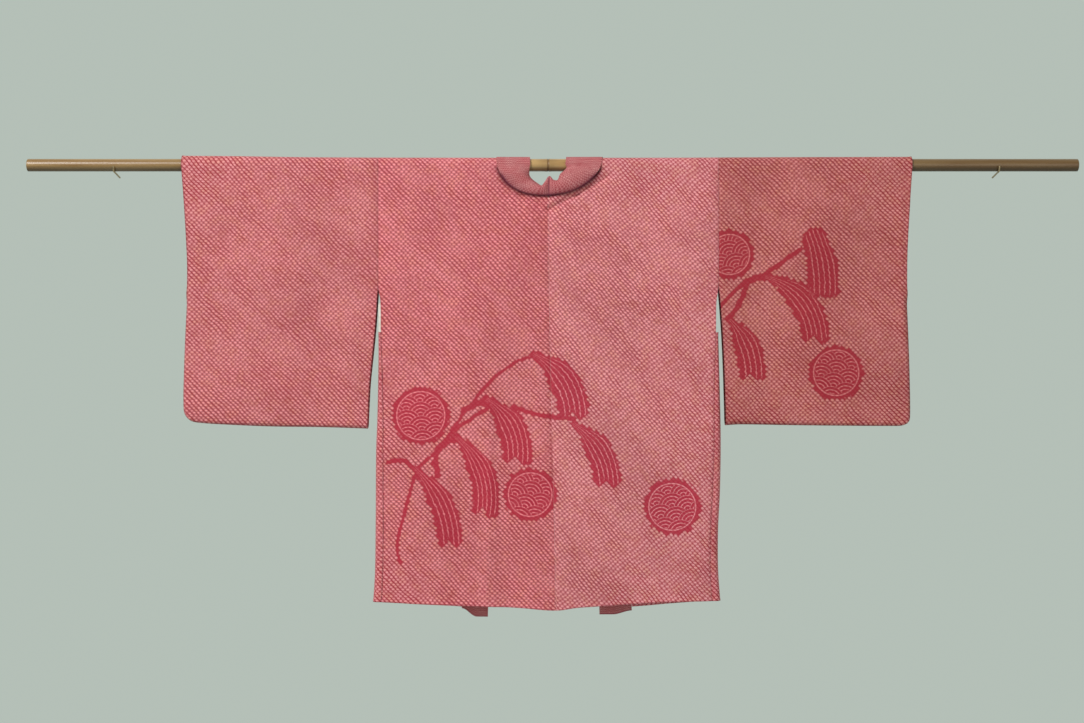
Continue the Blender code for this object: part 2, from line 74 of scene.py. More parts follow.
class Motif(Enum):
    """What a dyed motif is filled with."""

    STEM = 0
    LEAF = 1
    ROUNDEL = 2


def mixed(first: Array, second: Array, share: Array) -> Array:
    """A value on the way from the first to the second."""
    return first + (second - first) * share


def eased(share: Array) -> Array:
    """0 to 1 with a level start and end."""
    share = np.clip(share, 0, 1)
    return share * share * (3 - 2 * share)


def near(distance: Array, width: float) -> Array:
    """1 on a line, falling softly to 0 some widths away from it."""
    return np.exp(-((distance / width) ** 2))


class SmoothLine:
    """A smooth line through rows of numbers that stand at rising places."""

    def __init__(self, places: Sequence[float], rows: Sequence[Sequence[float]]) -> None:
        """Works out the slopes.

        Args:
            places: where the rows stand.
            rows: the numbers at each place.
        """
        self.places = np.asarray(places, float)
        self.rows = np.asarray(rows, float)
        order = np.arange(len(self.places))
        before = np.maximum(order - 1, 0)
        after = np.minimum(order + 1, order[-1])
        span = (self.places[after] - self.places[before])[:, None]
        self.slopes = (self.rows[after] - self.rows[before]) / span

    def at(self, place: Array) -> Array:
        """Numbers of the line at some places.

        Args:
            place: one place or an array of them.

        Returns:
            An array with one more axis, for the numbers of a row.
        """
        place = np.clip(np.asarray(place, float), self.places[0], self.places[-1])
        k = np.clip(np.searchsorted(self.places, place) - 1, 0, len(self.places) - 2)
        span = self.places[k + 1] - self.places[k]
        s = (place - self.places[k]) / span
        parts = (
            ((1 + 2 * s) * (1 - s) ** 2, self.rows[k]),
            (s * (1 - s) ** 2 * span, self.slopes[k]),
            (s * s * (3 - 2 * s), self.rows[k + 1]),
            (s * s * (s - 1) * span, self.slopes[k + 1]),
        )
        return sum(weight[..., None] * row for weight, row in parts)


def graph(pairs: Sequence[Place]) -> Callable[[Array], Array]:
    """A function of one number, smooth through (place, value) pairs."""
    line = SmoothLine([place for place, _ in pairs], [(value,) for _, value in pairs])
    return lambda place: line.at(place)[..., 0]


def outline(points: Sequence[Place]) -> Callable[[Array], Array]:
    """A function of the share of length, from 0 to 1, along a smooth line through points."""
    steps = [math.dist(a, b) for a, b in zip(points, points[1:])]
    places = [sum(steps[:k]) / sum(steps) for k in range(len(points))]
    return SmoothLine(places, points).at


def graded(steps: int, length: float, close: Sequence[float], low: bool, high: bool) -> Array:
    """Shares of a length, evenly spaced, with more of them close to one end or both.

    Args:
        steps: how many even steps there are.
        length: the whole length.
        close: distances from an end at which a share is added.
        low: whether the start has them.
        high: whether the end has them.

    Returns:
        The shares in rising order, from 0 to 1.
    """
    shares = [k / steps for k in range(steps + 1)]
    reach = max(close) * 1.3 / length
    shares = [s for s in shares if s in (0, 1) or not (low and s < reach or high and s > 1 - reach)]
    shares += [d / length for d in close if low]
    shares += [1 - d / length for d in close if high]
    return np.array(sorted(shares))


class Fold(NamedTuple):
    """A soft ridge (height above 0) or trough of the hung cloth, along a line."""

    x_top: float
    z_top: float
    x_low: float
    z_low: float
    width: float
    height: float


# The folds of the hung cloth, and finer creases in it, on its back and on its front
BACK_FOLDS = [
    Fold(94, -8, 4, -69, 9, 3.2), Fold(70, -6, 30, -60, 9, -1.6),
    Fold(-76, -30, -3, -86, 13, -3.0), Fold(-120, -40, -20, -150, 26, 1.6),
    Fold(2, -70, 9, -520, 9, -1.4), Fold(9, -480, 16, -560, 14, -2.4),
    Fold(-103, -420, -104, -800, 12, 2.4), Fold(-80, -560, -72, -800, 20, -2.6),
    Fold(-215, -430, -222, -800, 46, 2.6), Fold(75, -430, 86, -800, 44, 3.0),
    Fold(205, -380, 214, -800, 48, -2.4), Fold(-300, -30, -262, -190, 22, 1.8),
    Fold(300, -30, 255, -200, 24, 2.0), Fold(-470, -40, -455, -420, 44, 2.2),
    Fold(-575, -60, -590, -400, 36, -1.8), Fold(-647, -430, -508, -455, 10, 2.2),
    Fold(455, -40, 470, -430, 46, 2.0), Fold(560, -70, 566, -400, 34, -1.8),
    Fold(629, -60, 631, -300, 10, 2.2),
]
BACK_CREASES = [
    Fold(-102, -715, -103, -800, 3.2, -1.9), Fold(-110, -660, -109, -800, 4.5, 0.9),
    Fold(-103, -470, -104, -640, 4, 0.5), Fold(-52, -752, 32, -740, 5, -0.7),
    Fold(96, -722, 178, -735, 6, -1.0), Fold(-190, -766, -140, -771, 4, -0.8),
    Fold(110, -20, 50, -54, 4.0, -3.6), Fold(58, -50, 2, -79, 4.0, -3.6),
    Fold(-96, -28, -46, -56, 4.6, -2.2), Fold(-54, -52, -2, -79, 4.6, -2.6),
    Fold(6, -440, 11, -560, 3.5, -0.9), Fold(-250, -640, -238, -786, 16, 1.0),
    Fold(-170, -650, -160, -790, 14, -0.9), Fold(-20, -640, -28, -790, 15, 0.9),
    Fold(140, -610, 150, -785, 15, -0.9), Fold(262, -560, 270, -778, 13, 0.9),
    Fold(-640, -435, -560, -446, 3.5, -1.2), Fold(-570, -447, -512, -452, 3.5, -0.8),
    Fold(-600, -300, -606, -452, 14, 0.9), Fold(-420, -280, -405, -462, 16, -0.8),
    Fold(-352, -250, -340, -462, 13, 0.8), Fold(-330, -20, -344, -140, 12, -0.7),
    Fold(-500, -30, -520, -130, 15, -0.6), Fold(-600, -24, -596, -110, 11, 0.7),
    Fold(634, -60, 635, -300, 3.0, -1.1), Fold(610, -330, 604, -462, 13, 0.9),
    Fold(400, -290, 388, -462, 15, -0.9), Fold(346, -20, 352, -150, 12, 0.7),
    Fold(520, -24, 512, -150, 14, -0.6), Fold(480, -330, 492, -463, 12, 0.7),
    Fold(-306, -12, -300, -90, 7, -0.9), Fold(306, -12, 300, -90, 7, -0.9),
]
FRONT_FOLDS = [
    Fold(-150, -30, -215, -800, 40, 2.8), Fold(-235, -300, -262, -800, 26, -2.4),
    Fold(150, -30, 228, -800, 42, 2.6), Fold(256, -320, 180, -800, 24, -2.4),
    Fold(-300, -30, -258, -210, 24, 2.0), Fold(300, -30, 262, -200, 24, 1.8),
    Fold(-480, -40, -500, -420, 42, 2.2), Fold(-590, -90, -570, -380, 30, -1.6),
    Fold(470, -40, 440, -420, 44, 2.2), Fold(585, -80, 600, -400, 32, -1.8),
]
FRONT_CREASES = [
    Fold(-190, -600, -196, -786, 14, -1.0), Fold(-244, -420, -250, -784, 12, 0.9),
    Fold(-128, -40, -168, -300, 12, 0.9), Fold(-170, -200, -186, -520, 12, -0.8),
    Fold(188, -580, 196, -786, 14, 1.0), Fold(250, -380, 258, -782, 12, -0.9),
    Fold(132, -40, 176, -290, 12, 0.9), Fold(168, -230, 190, -540, 13, -0.8),
    Fold(-350, -60, -362, -440, 14, 0.9), Fold(-430, -200, -420, -455, 12, -0.8),
    Fold(-560, -60, -548, -260, 12, 0.8), Fold(362, -50, 350, -430, 13, 0.9),
    Fold(530, -180, 544, -455, 14, -0.9), Fold(420, -40, 408, -240, 12, 0.7),
    Fold(-296, -14, -286, -120, 7, -0.9), Fold(296, -14, 288, -120, 7, -0.9),
]


@dataclass(frozen=True)
class Crumple:
    """The faint unevenness of a cloth that was tied in thousands of tiny knots."""

    waves: int = 14
    shortest: float = 17
    growth: float = 1.16
    turn: float = 2.4
    height: float = 0.085

    def height_at(self, x: Array, run: Array) -> Array:
        """Height of the cloth at places of its pattern, in millimetres."""
        total = 0
        for k in range(self.waves):
            length = self.shortest * self.growth ** k
            angle = self.turn * k
            way = x * math.cos(angle) + run * math.sin(angle)
            drift = 9 * np.sin((x * math.sin(angle) - run * math.cos(angle)) / (2.3 * length))
            total = total + np.sin(2 * math.pi * (way + drift) / length + 1.7 * k)
        return self.height * total


@dataclass(frozen=True)
class Hanging:
    """How the cloth hangs: from a place on its pattern to a place in space."""

    rod_radius: float = (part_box("rod")[1][2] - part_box("rod")[0][2]) / 2 / METRES
    seat_gap: float = 0.5
    wall: float = 1.6
    armhole_x: float = 303
    sleeve_blend: float = 85
    free_of_rod: float = 30
    crumple: Crumple = Crumple()
    body_depth = staticmethod(
        graph([(-800, 15.6), (-650, 17), (-450, 16.5), (-200, 14.5), (-60, 13.2), (0, 12.8)])
    )
    sleeve_depth = staticmethod(graph([(-470, 8), (-400, 8.5), (-200, 10.5), (-60, 12.4), (0, 12.8)]))
    top_lift = staticmethod(
        graph([(-655, 3.4), (-560, 2.8), (-420, 0.8), (-200, 0), (200, 0), (420, 0.9), (655, 1.6)])
    )

    @property
    def radius(self) -> float:
        """Radius of the cloth's middle where it lies over the rod."""
        return self.rod_radius + self.seat_gap + self.wall / 2

    @property
    def over_rod(self) -> float:
        """Length of cloth that lies over the rod."""
        return math.pi * self.radius

    def fold_height(self, folds: Iterable[Fold], x: Array, z: Array) -> Array:
        """Height of the cloth's ridges and troughs, level again where it meets the rod."""
        total = 0
        for fold in folds:
            along_x = fold.x_low - fold.x_top
            along_z = fold.z_low - fold.z_top
            length = math.hypot(along_x, along_z)
            along = ((x - fold.x_top) * along_x + (z - fold.z_top) * along_z) / length
            across = ((x - fold.x_top) * along_z - (z - fold.z_top) * along_x) / length
            end = min(3 * fold.width, length / 3)
            taper = eased((along + end / 2) / end) * eased((length - along + end) / end)
            total = total + fold.height * taper * near(across, fold.width)
        return total * eased(-z / self.free_of_rod)

    def depth(self, folds: Iterable[Fold], x: Array, z: Array) -> Array:
        """Distance of the cloth's middle from the rod's plane."""
        sleeve_share = eased((np.abs(x) - self.armhole_x) / self.sleeve_blend)
        plain = mixed(self.body_depth(z), self.sleeve_depth(z), sleeve_share)
        return plain + self.fold_height(folds, x, z)

    def hung(self, x: Array, run: Array, lift: Array = 0, flatness: Array = 1) -> Array:
        """Places in space of points of the pattern.

        Args:
            x: places along the rod.
            run: places down the back (below 0), over the rod, or down the front.
            lift: how far outwards each point is moved.
            flatness: under 1 brings back and front together, as at a sewn edge.

        Returns:
            An array of points, in millimetres.
        """
        x, run, lift, flatness = np.broadcast_arrays(x, run, lift, flatness)
        front_z = self.over_rod - run
        uneven = self.crumple.height_at(x, run)
        back_uneven = lift + uneven * eased(-run / self.free_of_rod)
        front_uneven = lift + uneven * eased(-front_z / self.free_of_rod)
        back_y = -(self.depth(BACK_FOLDS + BACK_CREASES, x, run) * flatness + back_uneven)
        front_y = self.depth(FRONT_FOLDS + FRONT_CREASES, x, front_z) * flatness + front_uneven
        angle = run / self.radius
        round_y = -(self.radius + lift) * np.cos(angle)
        round_z = (self.radius + lift + self.top_lift(x)) * np.sin(angle)
        back, front = run <= 0, run >= self.over_rod
        y = np.where(back, back_y, np.where(front, front_y, round_y))
        z = np.where(back, run, np.where(front, front_z, round_z))
        return np.stack([x, y, z], axis=-1)


HANGING = Hanging()


def line_distance(points: Sequence[Place], x: Array, z: Array) -> Array:
    """Distance of places from a smooth line through points."""
    line = outline(points)(np.linspace(0, 1, 60))
    return np.hypot(x[..., None] - line[:, 0], z[..., None] - line[:, 1]).min(axis=-1)


class Leaf(NamedTuple):
    """A drooping leaf like a broad ribbon, narrow at its stalk and notched at its end."""

    stalk: Place
    tip: Place
    bow: float
    half_width: float
    lines: int = 6
    narrow: float = 0.3
    notch: float = 0.11

    kind = Motif.LEAF

    def measure(self, x: Array, z: Array) -> tuple[Array, Array]:
        """How far inside the leaf places lie, and which of its lines they are on."""
        steps = np.linspace(0, 1, 41)[:, None]
        stalk, tip = np.array(self.stalk), np.array(self.tip)
        length = np.linalg.norm(tip - stalk)
        aside = np.array([tip[1] - stalk[1], stalk[0] - tip[0]]) / length * self.bow
        bowed = (stalk + tip) / 2 + aside
        spine = stalk * (1 - steps) ** 2 + 2 * bowed * steps * (1 - steps) + tip * steps ** 2
        way = spine[1:] - spine[:-1]
        reach = np.linalg.norm(way, axis=1)
        from_x = x[..., None] - spine[:-1, 0]
        from_z = z[..., None] - spine[:-1, 1]
        along = np.clip((from_x * way[:, 0] + from_z * way[:, 1]) / reach ** 2, 0, 1)
        away = np.hypot(from_x - along * way[:, 0], from_z - along * way[:, 1])
        closest = np.argmin(away, axis=-1)[..., None]
        share = (closest[..., 0] + np.take_along_axis(along, closest, -1)[..., 0]) / len(way)
        turned = (from_x * way[:, 1] - from_z * way[:, 0]) / reach
        across = np.take_along_axis(turned, closest, -1)[..., 0]
        off = np.take_along_axis(away, closest, -1)[..., 0]
        half = self.half_width * mixed(self.narrow, 1, eased(share / 0.45))
        side = across / half
        end = 0.97 - self.notch * near(side - 0.1, 0.28) - 0.06 * side * side
        inside = np.minimum(half - off, (end - share) * reach.sum())
        return inside, side * self.lines / 2 + self.lines / 2


class Roundel(NamedTuple):
    """A round motif of overlapping wave scales inside a ring, turned by some degrees."""

    middle: Place
    radius: float
    turn: float = 0

    kind = Motif.ROUNDEL

    def measure(self, x: Array, z: Array) -> tuple[Array, Array]:
        """How far inside the roundel places lie, and nothing for lines."""
        away = np.hypot(x - self.middle[0], z - self.middle[1])
        return self.radius - away, np.zeros_like(away)

    def local(self, x: Array, z: Array) -> Array:
        """Places as the roundel's own wave scales see them."""
        x, z = x - self.middle[0], z - self.middle[1]
        cosine, sine = math.cos(math.radians(self.turn)), math.sin(math.radians(self.turn))
        return np.stack([x * cosine + z * sine, z * cosine - x * sine], -1)


class Stem(NamedTuple):
    """A stem along a smooth line."""

    points: tuple[Place, ...]
    half_width: float = 3.1

    kind = Motif.STEM

    def measure(self, x: Array, z: Array) -> tuple[Array, Array]:
        """How far inside the stem places lie, and nothing for lines."""
        away = line_distance(self.points, x, z)
        return self.half_width - away, np.zeros_like(away)


# The dyed design, of drooping leaf sprays and roundels, on the back and on the right sleeve's back
BACK_DESIGN = [
    Stem(((-234, -542), (-198, -508), (-146, -438), (-104, -388), (-60, -352), (-24, -340))),
    Stem(((-206, -532), (-176, -482), (-128, -446), (-104, -430)), 3.6),
    Stem(((-150, -438), (-126, -424), (-104, -424)), 5.5),
    Stem(((-62, -430), (-20, -444), (46, -452)), 4),
    Stem(((-196, -552), (-198, -512), (-178, -492), (-160, -490)), 5),
    Stem(((-284, -528), (-256, -526), (-236, -542)), 4),
    Stem(((-236, -550), (-256, -624), (-268, -678), (-262, -708))),
    Stem(((-304, -590), (-292, -584))),
    Leaf((-24, -338), (46, -460), -44, 27),
    Leaf((46, -462), (106, -580), -36, 24),
    Leaf((-108, -418), (-58, -540), -42, 26),
    Leaf((-164, -484), (-116, -634), -50, 23),
    Leaf((-236, -540), (-174, -688), -38, 22, 5),
    Roundel((-226, -446), 51, 4),
    Roundel((-32, -586), 47, -24),
    Roundel((220, -608), 50, 18),
    Roundel((-340, -730), 44),
]
SLEEVE_DESIGN = [
    Stem(((304, -254), (342, -216), (380, -197), (404, -182), (448, -150)), 4),
    Stem(((322, -274), (342, -242), (352, -214)), 4.5),
    Stem(((350, -210), (376, -200), (398, -204)), 6),
    Leaf((474, -134), (488, -240), -12, 28, 6, 0.8, 0.02),
    Leaf((388, -200), (476, -326), -56, 25),
    Leaf((322, -276), (362, -390), -28, 24, 5),
    Roundel((322, -160), 44, 30),
    Roundel((512, -370), 49, -12),
]


@dataclass(frozen=True)
class Dyeing:
    """The dyed design of one piece of cloth, measured at the points of its mesh."""

    motifs: tuple = ()
    outside: float = -30
    reach: float = 1.5

    def depth(self, x: Array, z: Array) -> Array:
        """How far inside the nearest motif places lie."""
        depth = np.full(x.shape, float(self.outside))
        for motif in self.motifs:
            depth = np.maximum(depth, motif.measure(x, z)[0])
        return depth

    def attributes(self, x: Array, run: Array) -> dict[str, Array]:
        """Numbers that the cloth's finish reads at each point.

        Args:
            x: places of the points along the rod.
            run: their places down the back, or beyond 0 on the front, which has no design.

        Returns:
            Arrays by attribute name: motif_depth, motif_slope, motif_kind, motif_line and
            roundel_place.
        """
        shape = x.shape
        found = {
            "motif_depth": np.full(shape, float(self.outside)),
            "motif_slope": np.zeros((*shape, 3)),
            "motif_kind": np.zeros(shape),
            "motif_line": np.zeros(shape),
            "roundel_place": np.zeros((*shape, 3)),
        }
        if not self.motifs:
            return found
        on_back = run < 0
        bx, bz = x[on_back], run[on_back]
        depth = np.full(bx.shape, float(self.outside))
        kind, line = np.zeros(bx.shape), np.zeros(bx.shape)
        local = np.zeros((*bx.shape, 3))
        for motif in self.motifs:
            inside, across = motif.measure(bx, bz)
            here = inside > depth
            depth = np.where(here, inside, depth)
            kind = np.where(here, motif.kind.value, kind)
            line = np.where(here, across, line)
            if isinstance(motif, Roundel):
                local[here, :2] = motif.local(bx[here], bz[here])
        step = self.reach
        slope = np.zeros((*bx.shape, 3))
        slope[:, 0] = (self.depth(bx + step, bz) - self.depth(bx - step, bz)) / (2 * step)
        slope[:, 1] = (self.depth(bx, bz + step) - self.depth(bx, bz - step)) / (2 * step)
        for name, values in zip(found, (depth, slope, kind, line, local)):
            found[name][on_back] = values
        return found


Socket = bpy.types.NodeSocket
Value = float | Socket


class Wiring:
    """Short calls that build one material's nodes."""

    def __init__(self, name: str, roughness: float, **fixed: float) -> None:
        """Makes the material.

        Args:
            name: the material's name.
            roughness: roughness of its surface.
            fixed: other inputs of the shader that are the same all over, with _ for a space.
        """
        self.material = bpy.data.materials.new(name)
        self.material.use_nodes = True
        self.tree = self.material.node_tree
        self.shader = self.tree.nodes["Principled BSDF"]
        self.shader.inputs["Roughness"].default_value = roughness
        for socket, value in fixed.items():
            self.shader.inputs[socket.replace("_", " ")].default_value = value

    def set(self, socket: Socket, value: Value | Sequence[float]) -> None:
        """Links a socket to another one, or gives it a value."""
        if isinstance(value, bpy.types.NodeSocket):
            self.tree.links.new(value, socket)
        elif hasattr(value, "__len__") and socket.type == "RGBA":
            socket.default_value = (*value, 1)
        else:
            socket.default_value = value

    def node(self, kind: str, *values: Value, **settings: object) -> bpy.types.Node:
        """A new node with its first inputs and its settings."""
        made = self.tree.nodes.new("ShaderNode" + kind)
        for name, setting in settings.items():
            setattr(made, name, setting)
        for socket, value in zip(made.inputs, values):
            self.set(socket, value)
        return made

    def math(self, operation: str, *values: Value) -> Socket:
        """The result of a sum on one, two or three numbers."""
        return self.node("Math", *values, operation=operation).outputs[0]

    def fade(self, value: Value, start: float, end: float, low: float = 0, high: float = 1) -> Socket:
        """A soft step from low to high while a value goes from start to end."""
        made = self.node("MapRange", value, start, end, low, high, interpolation_type="SMOOTHSTEP")
        return made.outputs[0]

    def mix(self, share: Value, first: Sequence[float] | Socket, second: Sequence[float] | Socket) -> Socket:
        """A colour on the way from the first to the second."""
        made = self.tree.nodes.new("ShaderNodeMix")
        made.data_type = "RGBA"
        self.set(made.inputs[0], share)
        self.set(made.inputs[6], first)
        self.set(made.inputs[7], second)
        return made.outputs[2]

    def shade(self, colour: Socket, factor: Value) -> Socket:
        """A colour made lighter or darker by a factor."""
        scaled = self.node("VectorMath", colour, operation="SCALE")
        self.set(scaled.inputs["Scale"], factor)
        return scaled.outputs[0]

    def split(self, vector: Socket) -> tuple[Socket, Socket, Socket]:
        """The three numbers of a vector."""
        return tuple(self.node("SeparateXYZ", vector).outputs)

    def join(self, *values: Value) -> Socket:
        """A vector of up to three numbers."""
        return self.node("CombineXYZ", *values).outputs[0]

    def drifted(self, value: Socket, place: Socket, length: float, reach: float) -> Socket:
        """A place moved by soft noise of some length."""
        return self.math("MULTIPLY_ADD", self.noise(place, 1 / length, 2), reach, value)

    def tinted(self, colour: Socket, tint: Sequence[float]) -> Socket:
        """A colour times another one."""
        return self.node("VectorMath", colour, tint, operation="MULTIPLY").outputs[0]

    def noise(self, place: Socket, scale: float, detail: float = 2, rough: float = 0.5) -> Socket:
        """Soft noise from 0 to 1."""
        made = self.node("TexNoise")
        self.set(made.inputs["Vector"], place)
        self.set(made.inputs["Scale"], scale)
        self.set(made.inputs["Detail"], detail)
        self.set(made.inputs["Roughness"], rough)
        return made.outputs[0]

    def chance(self, place: Socket) -> tuple[Socket, Socket, Socket]:
        """Three chance numbers from 0 to 1 for each whole place."""
        return self.split(self.node("TexWhiteNoise", place, noise_dimensions="3D").outputs["Color"])

    def attribute(self, name: str) -> bpy.types.Node:
        """The node of a mesh attribute."""
        return self.node("Attribute", attribute_name=name)

    def cloth_place(self, lean: float = 0) -> tuple[Socket, Socket, Socket]:
        """The place on the flat cloth in millimetres, as two numbers and a vector."""
        place = self.node("UVMap", uv_map="cut").outputs[0]
        x, run, _ = self.split(place)
        x = self.math("MULTIPLY", x, 1 / METRES)
        run = self.math("MULTIPLY", run, 1 / METRES)
        run = self.math("MULTIPLY_ADD", x, lean, run) if lean else run
        return x, run, self.join(x, run, 0.0)

    def dent(self, height: Socket, distance: float, strength: float, below: Socket | None = None) -> Socket:
        """A bumped normal from a height, on top of another bumped normal."""
        made = self.node("Bump")
        self.set(made.inputs["Height"], height)
        self.set(made.inputs["Distance"], distance)
        self.set(made.inputs["Strength"], strength)
        if below is not None:
            self.set(made.inputs["Normal"], below)
        return made.outputs[0]

    def finish(self, colour: Socket, normal: Socket | None = None) -> bpy.types.Material:
        """Links the colour and the normal to the shader."""
        self.set(self.shader.inputs["Base Color"], colour)
        if normal is not None:
            self.set(self.shader.inputs["Normal"], normal)
        return self.material


Colour = tuple[float, float, float]


@dataclass(frozen=True)
class TiedSilk:
    """Silk crepe, tied into rows of tiny dots and dyed crimson."""

    name: str = "tied_silk"
    ground: Colour = (0.340, 0.012, 0.030)
    thread: Colour = (0.390, 0.040, 0.060)
    dot: Colour = (0.880, 0.320, 0.350)
    warm_dot: Colour = (0.840, 0.310, 0.290)
    motif: Colour = (0.470, 0.020, 0.048)
    line: Colour = (0.860, 0.260, 0.300)
    # Colour of the painted shade under the collar and of the darker lines along hems, seams and edges.
    shade_and_dark_edges: Colour = (0.110, 0.010, 0.022)
    # Colour factor per piece: painted shade on the sleeves, a paler, cooler tone on the body's right half.
    tint: Colour = (1, 1, 1)
    pitch: float = 6.05
    dot_width: float = 3.3
    dot_height: float = 2.1
    lean: float = 0
    paleness: float = 0
    scale_radius: float = 25
    rings: float = 4
    ring_inset: float = 8.5

    def lattice(self, w: Wiring) -> dict[str, Socket]:
        """The tied dots: bright dashes in slanting rows, with dark grooves between the rows.

        Args:
            w: the wiring of the material.

        Returns:
            Sockets by name: light, chance, rows, off_x, off_run and place.
        """
        x, run, place = w.cloth_place(self.lean)
        turned = w.join(run, x, 7.0)
        x_moved = w.drifted(w.drifted(x, place, 46, 7.0), place, 8, 1.8)
        run_moved = w.drifted(w.drifted(run, turned, 52, 7.0), turned, 8, 1.8)
        side = math.sqrt(2) * self.pitch
        across = w.math("DIVIDE", w.math("ADD", x_moved, run_moved), side)
        along = w.math("DIVIDE", w.math("SUBTRACT", x_moved, run_moved), side)
        row, knot = w.math("ROUND", across), w.math("ROUND", along)
        off_across, off_along = w.math("SUBTRACT", across, row), w.math("SUBTRACT", along, knot)
        off_x = w.math("MULTIPLY", w.math("ADD", off_across, off_along), side / 2)
        off_run = w.math("MULTIPLY", w.math("SUBTRACT", off_across, off_along), side / 2)
        first, second, third = w.chance(w.join(row, knot, 0.0))
        slant = w.join(w.math("MULTIPLY", along, 0.4), across, 3.0)
        rows = w.fade(w.noise(slant, 0.17, 3, 0.6), 0.34 + self.paleness, 0.58 + self.paleness)
        from_row, from_knot = w.math("ABSOLUTE", off_across), w.math("ABSOLUTE", off_along)
        border = w.math(
            "MULTIPLY_ADD", w.math("SUBTRACT", from_row, from_knot), rows,
            w.math("ADD", from_row, from_knot),
        )
        band = w.fade(border, 1.0, 0.5)
        moved_x = w.math("MULTIPLY_ADD", second, 1.4, w.math("SUBTRACT", off_x, 0.7))
        moved_run = w.math("MULTIPLY_ADD", third, 1.0, w.math("SUBTRACT", off_run, 0.5))
        wide = w.math("POWER", w.math("DIVIDE", moved_x, self.dot_width), 2.0)
        high = w.math("POWER", w.math("DIVIDE", moved_run, self.dot_height), 2.0)
        dot = w.fade(w.math("ADD", wide, high), 1.0, 0.05)
        strength = w.math("MULTIPLY_ADD", first, 0.62, 0.36)
        light = w.math("MULTIPLY_ADD", dot, strength, w.math("MULTIPLY", band, 0.42))
        return {
            "light": light, "chance": second, "rows": rows, "off_x": off_x, "off_run": off_run,
            "place": place,
        }

    def wave_scales(self, w: Wiring) -> Socket:
        """Lines of overlapping wave scales, by the place inside a roundel."""
        local = w.attribute("roundel_place").outputs["Vector"]
        size = (self.scale_radius,) * 3
        x, z, _ = w.split(w.node("VectorMath", local, size, operation="DIVIDE").outputs[0])
        lowest = w.math("FLOOR", w.math("MULTIPLY", w.math("SUBTRACT", z, 1.0), 2.0))
        nearest: Value = 9.0
        for step in (4, 3, 2, 1):
            row = w.math("ADD", lowest, float(step))
            shifted = w.math("SUBTRACT", x, w.math("FLOORED_MODULO", row, 2.0))
            whole = w.math("MULTIPLY", w.math("ROUND", w.math("DIVIDE", shifted, 2.0)), 2.0)
            from_x = w.math("SUBTRACT", shifted, whole)
            from_z = w.math("SUBTRACT", z, w.math("MULTIPLY", row, 0.5))
            away = w.node("VectorMath", w.join(from_x, from_z, 0.0), operation="LENGTH").outputs["Value"]
            inside = w.math("LESS_THAN", away, 1.0)
            beyond = w.math("MULTIPLY", nearest, w.math("SUBTRACT", 1.0, inside))
            nearest = w.math("MULTIPLY_ADD", away, inside, beyond)
        line = w.math("PINGPONG", w.math("MULTIPLY", nearest, self.rings), 0.5)
        return w.fade(line, 0.2, 0.08)

    def motifs(self, w: Wiring, dots: dict[str, Socket]) -> tuple[Socket, Socket]:
        """Where the motifs are, with edges stepped from dot to dot, and their light lines."""
        depth = w.attribute("motif_depth").outputs["Fac"]
        slope_x, slope_run, _ = w.split(w.attribute("motif_slope").outputs["Vector"])
        kind = w.attribute("motif_kind").outputs["Fac"]
        line = w.attribute("motif_line").outputs["Fac"]
        step = w.math(
            "ADD", w.math("MULTIPLY", slope_x, dots["off_x"]), w.math("MULTIPLY", slope_run, dots["off_run"])
        )
        step = w.math("MULTIPLY_ADD", dots["chance"], 2.2, w.math("SUBTRACT", -1.1, step))
        stepped = w.math("MULTIPLY_ADD", step, w.fade(kind, 0.0, 0.5, 0.45, 1.0), depth)
        mask = w.fade(stepped, -0.5, 0.5)
        is_leaf = w.math("COMPARE", kind, 1.0, 0.49)
        is_roundel = w.math("GREATER_THAN", kind, 1.5)
        wavering = w.math("MULTIPLY_ADD", w.noise(dots["place"], 1 / 5, 1), 0.5, line)
        leaf_line = w.fade(w.math("PINGPONG", wavering, 0.5), 0.13, 0.05)
        leaf_line = w.math("MULTIPLY", leaf_line, w.fade(depth, 3.0, 5.0))
        ring = w.fade(w.math("ABSOLUTE", w.math("SUBTRACT", depth, self.ring_inset)), 1.5, 0.7)
        scales = w.math("MULTIPLY", self.wave_scales(w), w.fade(depth, self.ring_inset + 1.5, self.ring_inset + 3))
        round_line = w.math("MAXIMUM", ring, scales)
        lines = w.math(
            "ADD",
            w.math("MULTIPLY", leaf_line, is_leaf),
            w.math("MULTIPLY", round_line, is_roundel),
        )
        broken = w.fade(dots["light"], 0.0, 1.0, 0.45, 1.0)
        return mask, w.math("MULTIPLY", lines, broken)

    def material(self) -> bpy.types.Material:
        """The finish, with its colour and its relief."""
        w = Wiring(self.name, 0.72, Specular_IOR_Level=0.18, Sheen_Weight=0.08, Sheen_Roughness=0.45)
        dots = self.lattice(w)
        mask, lines = self.motifs(w, dots)
        fibre = w.noise(dots["place"], 1 / 0.9, 2, 0.6)
        patch = w.noise(dots["place"], 1 / 70, 3, 0.55)
        light = w.math("MULTIPLY", dots["light"], w.fade(fibre, 0.2, 0.8, 0.86, 1.12))
        light = w.math("MULTIPLY", light, w.fade(patch, 0.3, 0.7, 0.86, 1.06))
        ground = w.mix(dots["rows"], self.thread, self.ground)
        warmth = w.noise(dots["place"], 1 / 18, 2)
        dot = w.mix(w.fade(warmth, 0.4, 0.7), self.dot, self.warm_dot)
        open_cloth = w.mix(light, ground, dot)
        full = w.shade(w.mix(0.1, self.motif, open_cloth), w.fade(fibre, 0.2, 0.8, 0.85, 1.12))
        full = w.mix(lines, full, self.line)
        colour = w.mix(mask, open_cloth, full)
        tone = w.fade(w.noise(dots["place"], 1 / 150, 2), 0.3, 0.7, 0.95, 1.05)
        colour = w.tinted(w.shade(colour, tone), self.tint)
        # Painted shade under the collar, and darker lines along hems, seams and edges, mixed in from a mesh
        # attribute.
        colour = w.mix(w.attribute("dark_edges_and_painted_shade").outputs["Fac"], colour, self.shade_and_dark_edges)
        normal = w.dent(fibre, 0.0002, 0.5)
        normal = w.dent(dots["light"], 0.0007, 0.6, normal)
        normal = w.dent(w.noise(dots["place"], 1 / 16, 2), 0.002, 0.35, normal)
        return w.finish(colour, normal)


